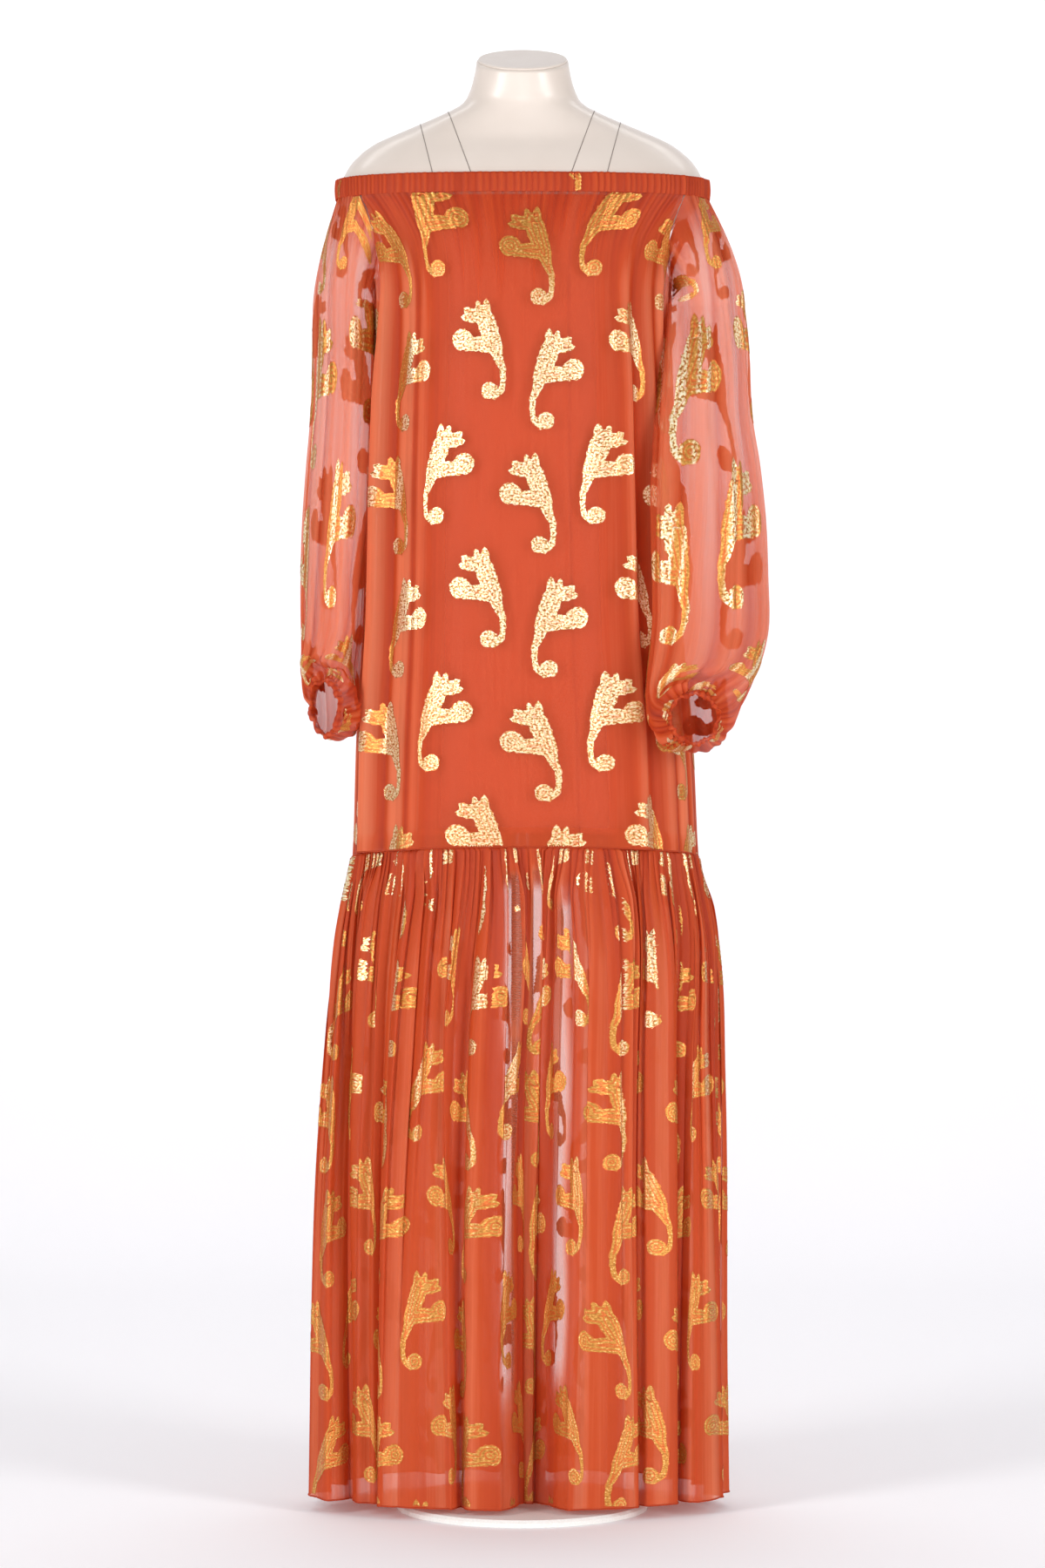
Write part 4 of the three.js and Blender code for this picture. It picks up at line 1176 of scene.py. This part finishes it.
form = {
    "columns": 120,
    "rows": 160,
    "capThickness": 0.003,
    "capScale": 0.97,
    "capGap": 0.0003,
    "inset": 0.0006,
}


def formSurface(turn, z, scale=1.0):
    outline = formSections.copy()
    outline[:, 1:4] = (outline[:, 1:4] - form["inset"]) * scale
    plan = np.column_stack([outline[:, :5], 0 * outline[:, 0]])
    x, y = planPoint(plan, turn, z)
    lean = np.radians(tableValue(outline, 6, z))
    return np.stack([x, y + tableValue(outline, 5, z), z + y * np.tan(lean)], -1)


def closedStack(name, grid, material):
    rows, columns = grid.shape[:2]
    points = np.vstack([grid.reshape(-1, 3), grid[0].mean(0), grid[-1].mean(0)])
    faces = gridFaces(rows, columns, around=True).tolist()
    top = rows * columns
    for i in range(columns):
        j = (i + 1) % columns
        low = (rows - 1) * columns
        faces.append([top, i, j])
        faces.append([top + 1, low + j, low + i])
    return mesh(name, points, faces, material)


def formTorso():
    turn = np.linspace(0, 360, form["columns"], endpoint=False)[None, :]
    z = np.linspace(formSections[-1, 0], formSections[0, 0], form["rows"])[:, None]
    torso = closedStack("form_torso_shell", formSurface(turn + 0 * z, z + 0 * turn), shell)
    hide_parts("form_torso")
    rim = 0.001
    top = formSections[-1, 0]
    thick = form["capThickness"]
    full = form["capScale"]
    lifts = [(thick, 0.93), (thick, 0.955), (thick - rim, full), (form["capGap"], full)]
    rings = [formSurface(turn[0], top + 0 * turn[0], scale) + np.array([0, 0, lift]) for lift, scale in lifts]
    cap = closedStack("form_neck_cap_plate", np.stack(rings), shell)
    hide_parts("form_neck_cap")
    for piece in (torso, cap):
        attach(piece, "root")


# Closed joints of the moulded shell, over each shoulder: distance from the middle at the neckline and above
shellJoints = {
    "low": 1.492,
    "rise": 0.075,
    "radius": 0.0005,
    "lines": [(-0.099, -0.117), (-0.056, -0.082), (0.053, 0.079), (0.093, 0.112)],
}


def shellJoint(number, low, high):
    sign = 1 if low > 0 else -1
    heights = np.linspace(shellJoints["low"], formSections[-2, 0], 400)
    across = low + (high - low) * (heights - shellJoints["low"]) / shellJoints["rise"]
    reach = np.abs(formSurface(sign * 90 + 0 * heights, heights)[:, 0])
    heights = heights[np.abs(across) < reach * 0.999][::4]
    spots = []
    for start, end, order in ((0, 90, heights), (180, 90, heights[::-1])):
        for z in order:
            turns = np.linspace(start, end, 300) * sign
            line = formSurface(turns, z + 0 * turns)
            x = low + (high - low) * (z - shellJoints["low"]) / shellJoints["rise"]
            turn = np.interp(abs(x), np.abs(line[:, 0]), turns)
            spots.append(formSurface(turn, z))
    piece = thread(f"shell_joint_{number}", spots, shellJoints["radius"], sealant)
    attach(piece, "root")


formTorso()
for number, (low, high) in enumerate(shellJoints["lines"]):
    shellJoint(number + 1, low, high)
for node, material in {"form_pole": steel, "form_foot": coat}.items():
    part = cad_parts[node]
    part.data.materials.clear()
    part.data.materials.append(material)
print("form made")

# Stage, lights and camera
stage = {"width": 9.0, "front": 7.0, "back": 3.2, "height": 5.0, "curve": 1.2}


def whiteSweep():
    material = newMaterial("white_paper")
    surface = addNode(material, "ShaderNodeBsdfPrincipled", Base_Color=linear("#f4f3f5"), Roughness=0.9)
    # The paper shows from its front only, so that it never hides the dress from a camera behind it
    reverse = addNode(material, "ShaderNodeNewGeometry").outputs["Backfacing"]
    nothing = addNode(material, "ShaderNodeBsdfTransparent")
    oneSided = addNode(material, "ShaderNodeMixShader", links={"Fac": reverse})
    material.node_tree.links.new(surface.outputs[0], oneSided.inputs[1])
    material.node_tree.links.new(nothing.outputs[0], oneSided.inputs[2])
    addNode(material, "ShaderNodeOutputMaterial", links={"Surface": oneSided.outputs[0]})
    profile = [(-stage["front"], 0), (stage["back"] - stage["curve"], 0)]
    for angle in np.linspace(0, np.pi / 2, 14)[1:]:
        reach = stage["back"] - stage["curve"] + stage["curve"] * math.sin(angle)
        profile.append((reach, stage["curve"] * (1 - math.cos(angle))))
    profile.append((stage["back"], stage["height"]))
    half = stage["width"] / 2
    grid = np.array([[(x, y, z - 0.0002) for x in (-half, half)] for y, z in profile])[:, ::-1]
    sweep = mesh("white_sweep", grid.reshape(-1, 3), gridFaces(len(profile), 2), material)


def softbox(name, place, target, size, power):
    data = bpy.data.lights.new(name, "AREA")
    data.shape = "RECTANGLE"
    data.size, data.size_y = size
    data.energy = power
    lamp = bpy.data.objects.new(name, data)
    lamp.location = place
    lamp.rotation_euler = (Vector(target) - Vector(place)).to_track_quat("-Z", "Y").to_euler()
    bpy.context.scene.collection.objects.link(lamp)


lights = {
    "left_box": ((-2.6, -2.4, 1.35), (0, 0, 0.8), (1.0, 2.2), 76),
    "right_box": ((2.6, -2.4, 1.35), (0, 0, 0.8), (1.0, 2.2), 70),
    "front_box": ((0, -6.2, 1.50), (0, 0, 1.1), (1.5, 0.85), 50),
    "back_wash": ((0, 1.2, 3.6), (0, 3.0, 0.3), (4.0, 1.0), 50),
}


def studio():
    world = bpy.data.worlds.new("studio")
    world.use_nodes = True
    world.node_tree.nodes["Background"].inputs["Color"].default_value = linear("#fbfbff")
    world.node_tree.nodes["Background"].inputs["Strength"].default_value = 0.40
    bpy.context.scene.world = world
    for name, (place, target, size, power) in lights.items():
        softbox(name, place, target, size, power)


# The camera stands 5.2 m away at hip height. The photograph's focal length is 5289 of its 1800 pixels
camera = {"distance": 5.2, "height": 0.876, "focalPixels": 5289, "imageHeight": 1800, "horizonAbove": 60}


def makeCamera():
    data = bpy.data.cameras.new("camera")
    data.sensor_width = 36
    data.lens = camera["focalPixels"] / camera["imageHeight"] * data.sensor_width
    viewer = bpy.data.objects.new("camera", data)
    viewer.location = (0, -camera["distance"], camera["height"])
    pitch = math.atan(camera["horizonAbove"] / camera["focalPixels"])
    viewer.rotation_euler = (math.pi / 2 - pitch, 0, 0)
    bpy.context.scene.collection.objects.link(viewer)
    bpy.context.scene.camera = viewer


whiteSweep()
studio()
makeCamera()
bpy.context.scene.view_settings.view_transform = "Standard"
bpy.context.scene.cycles.transparent_max_bounces = 24
print("stage, lights and camera made")
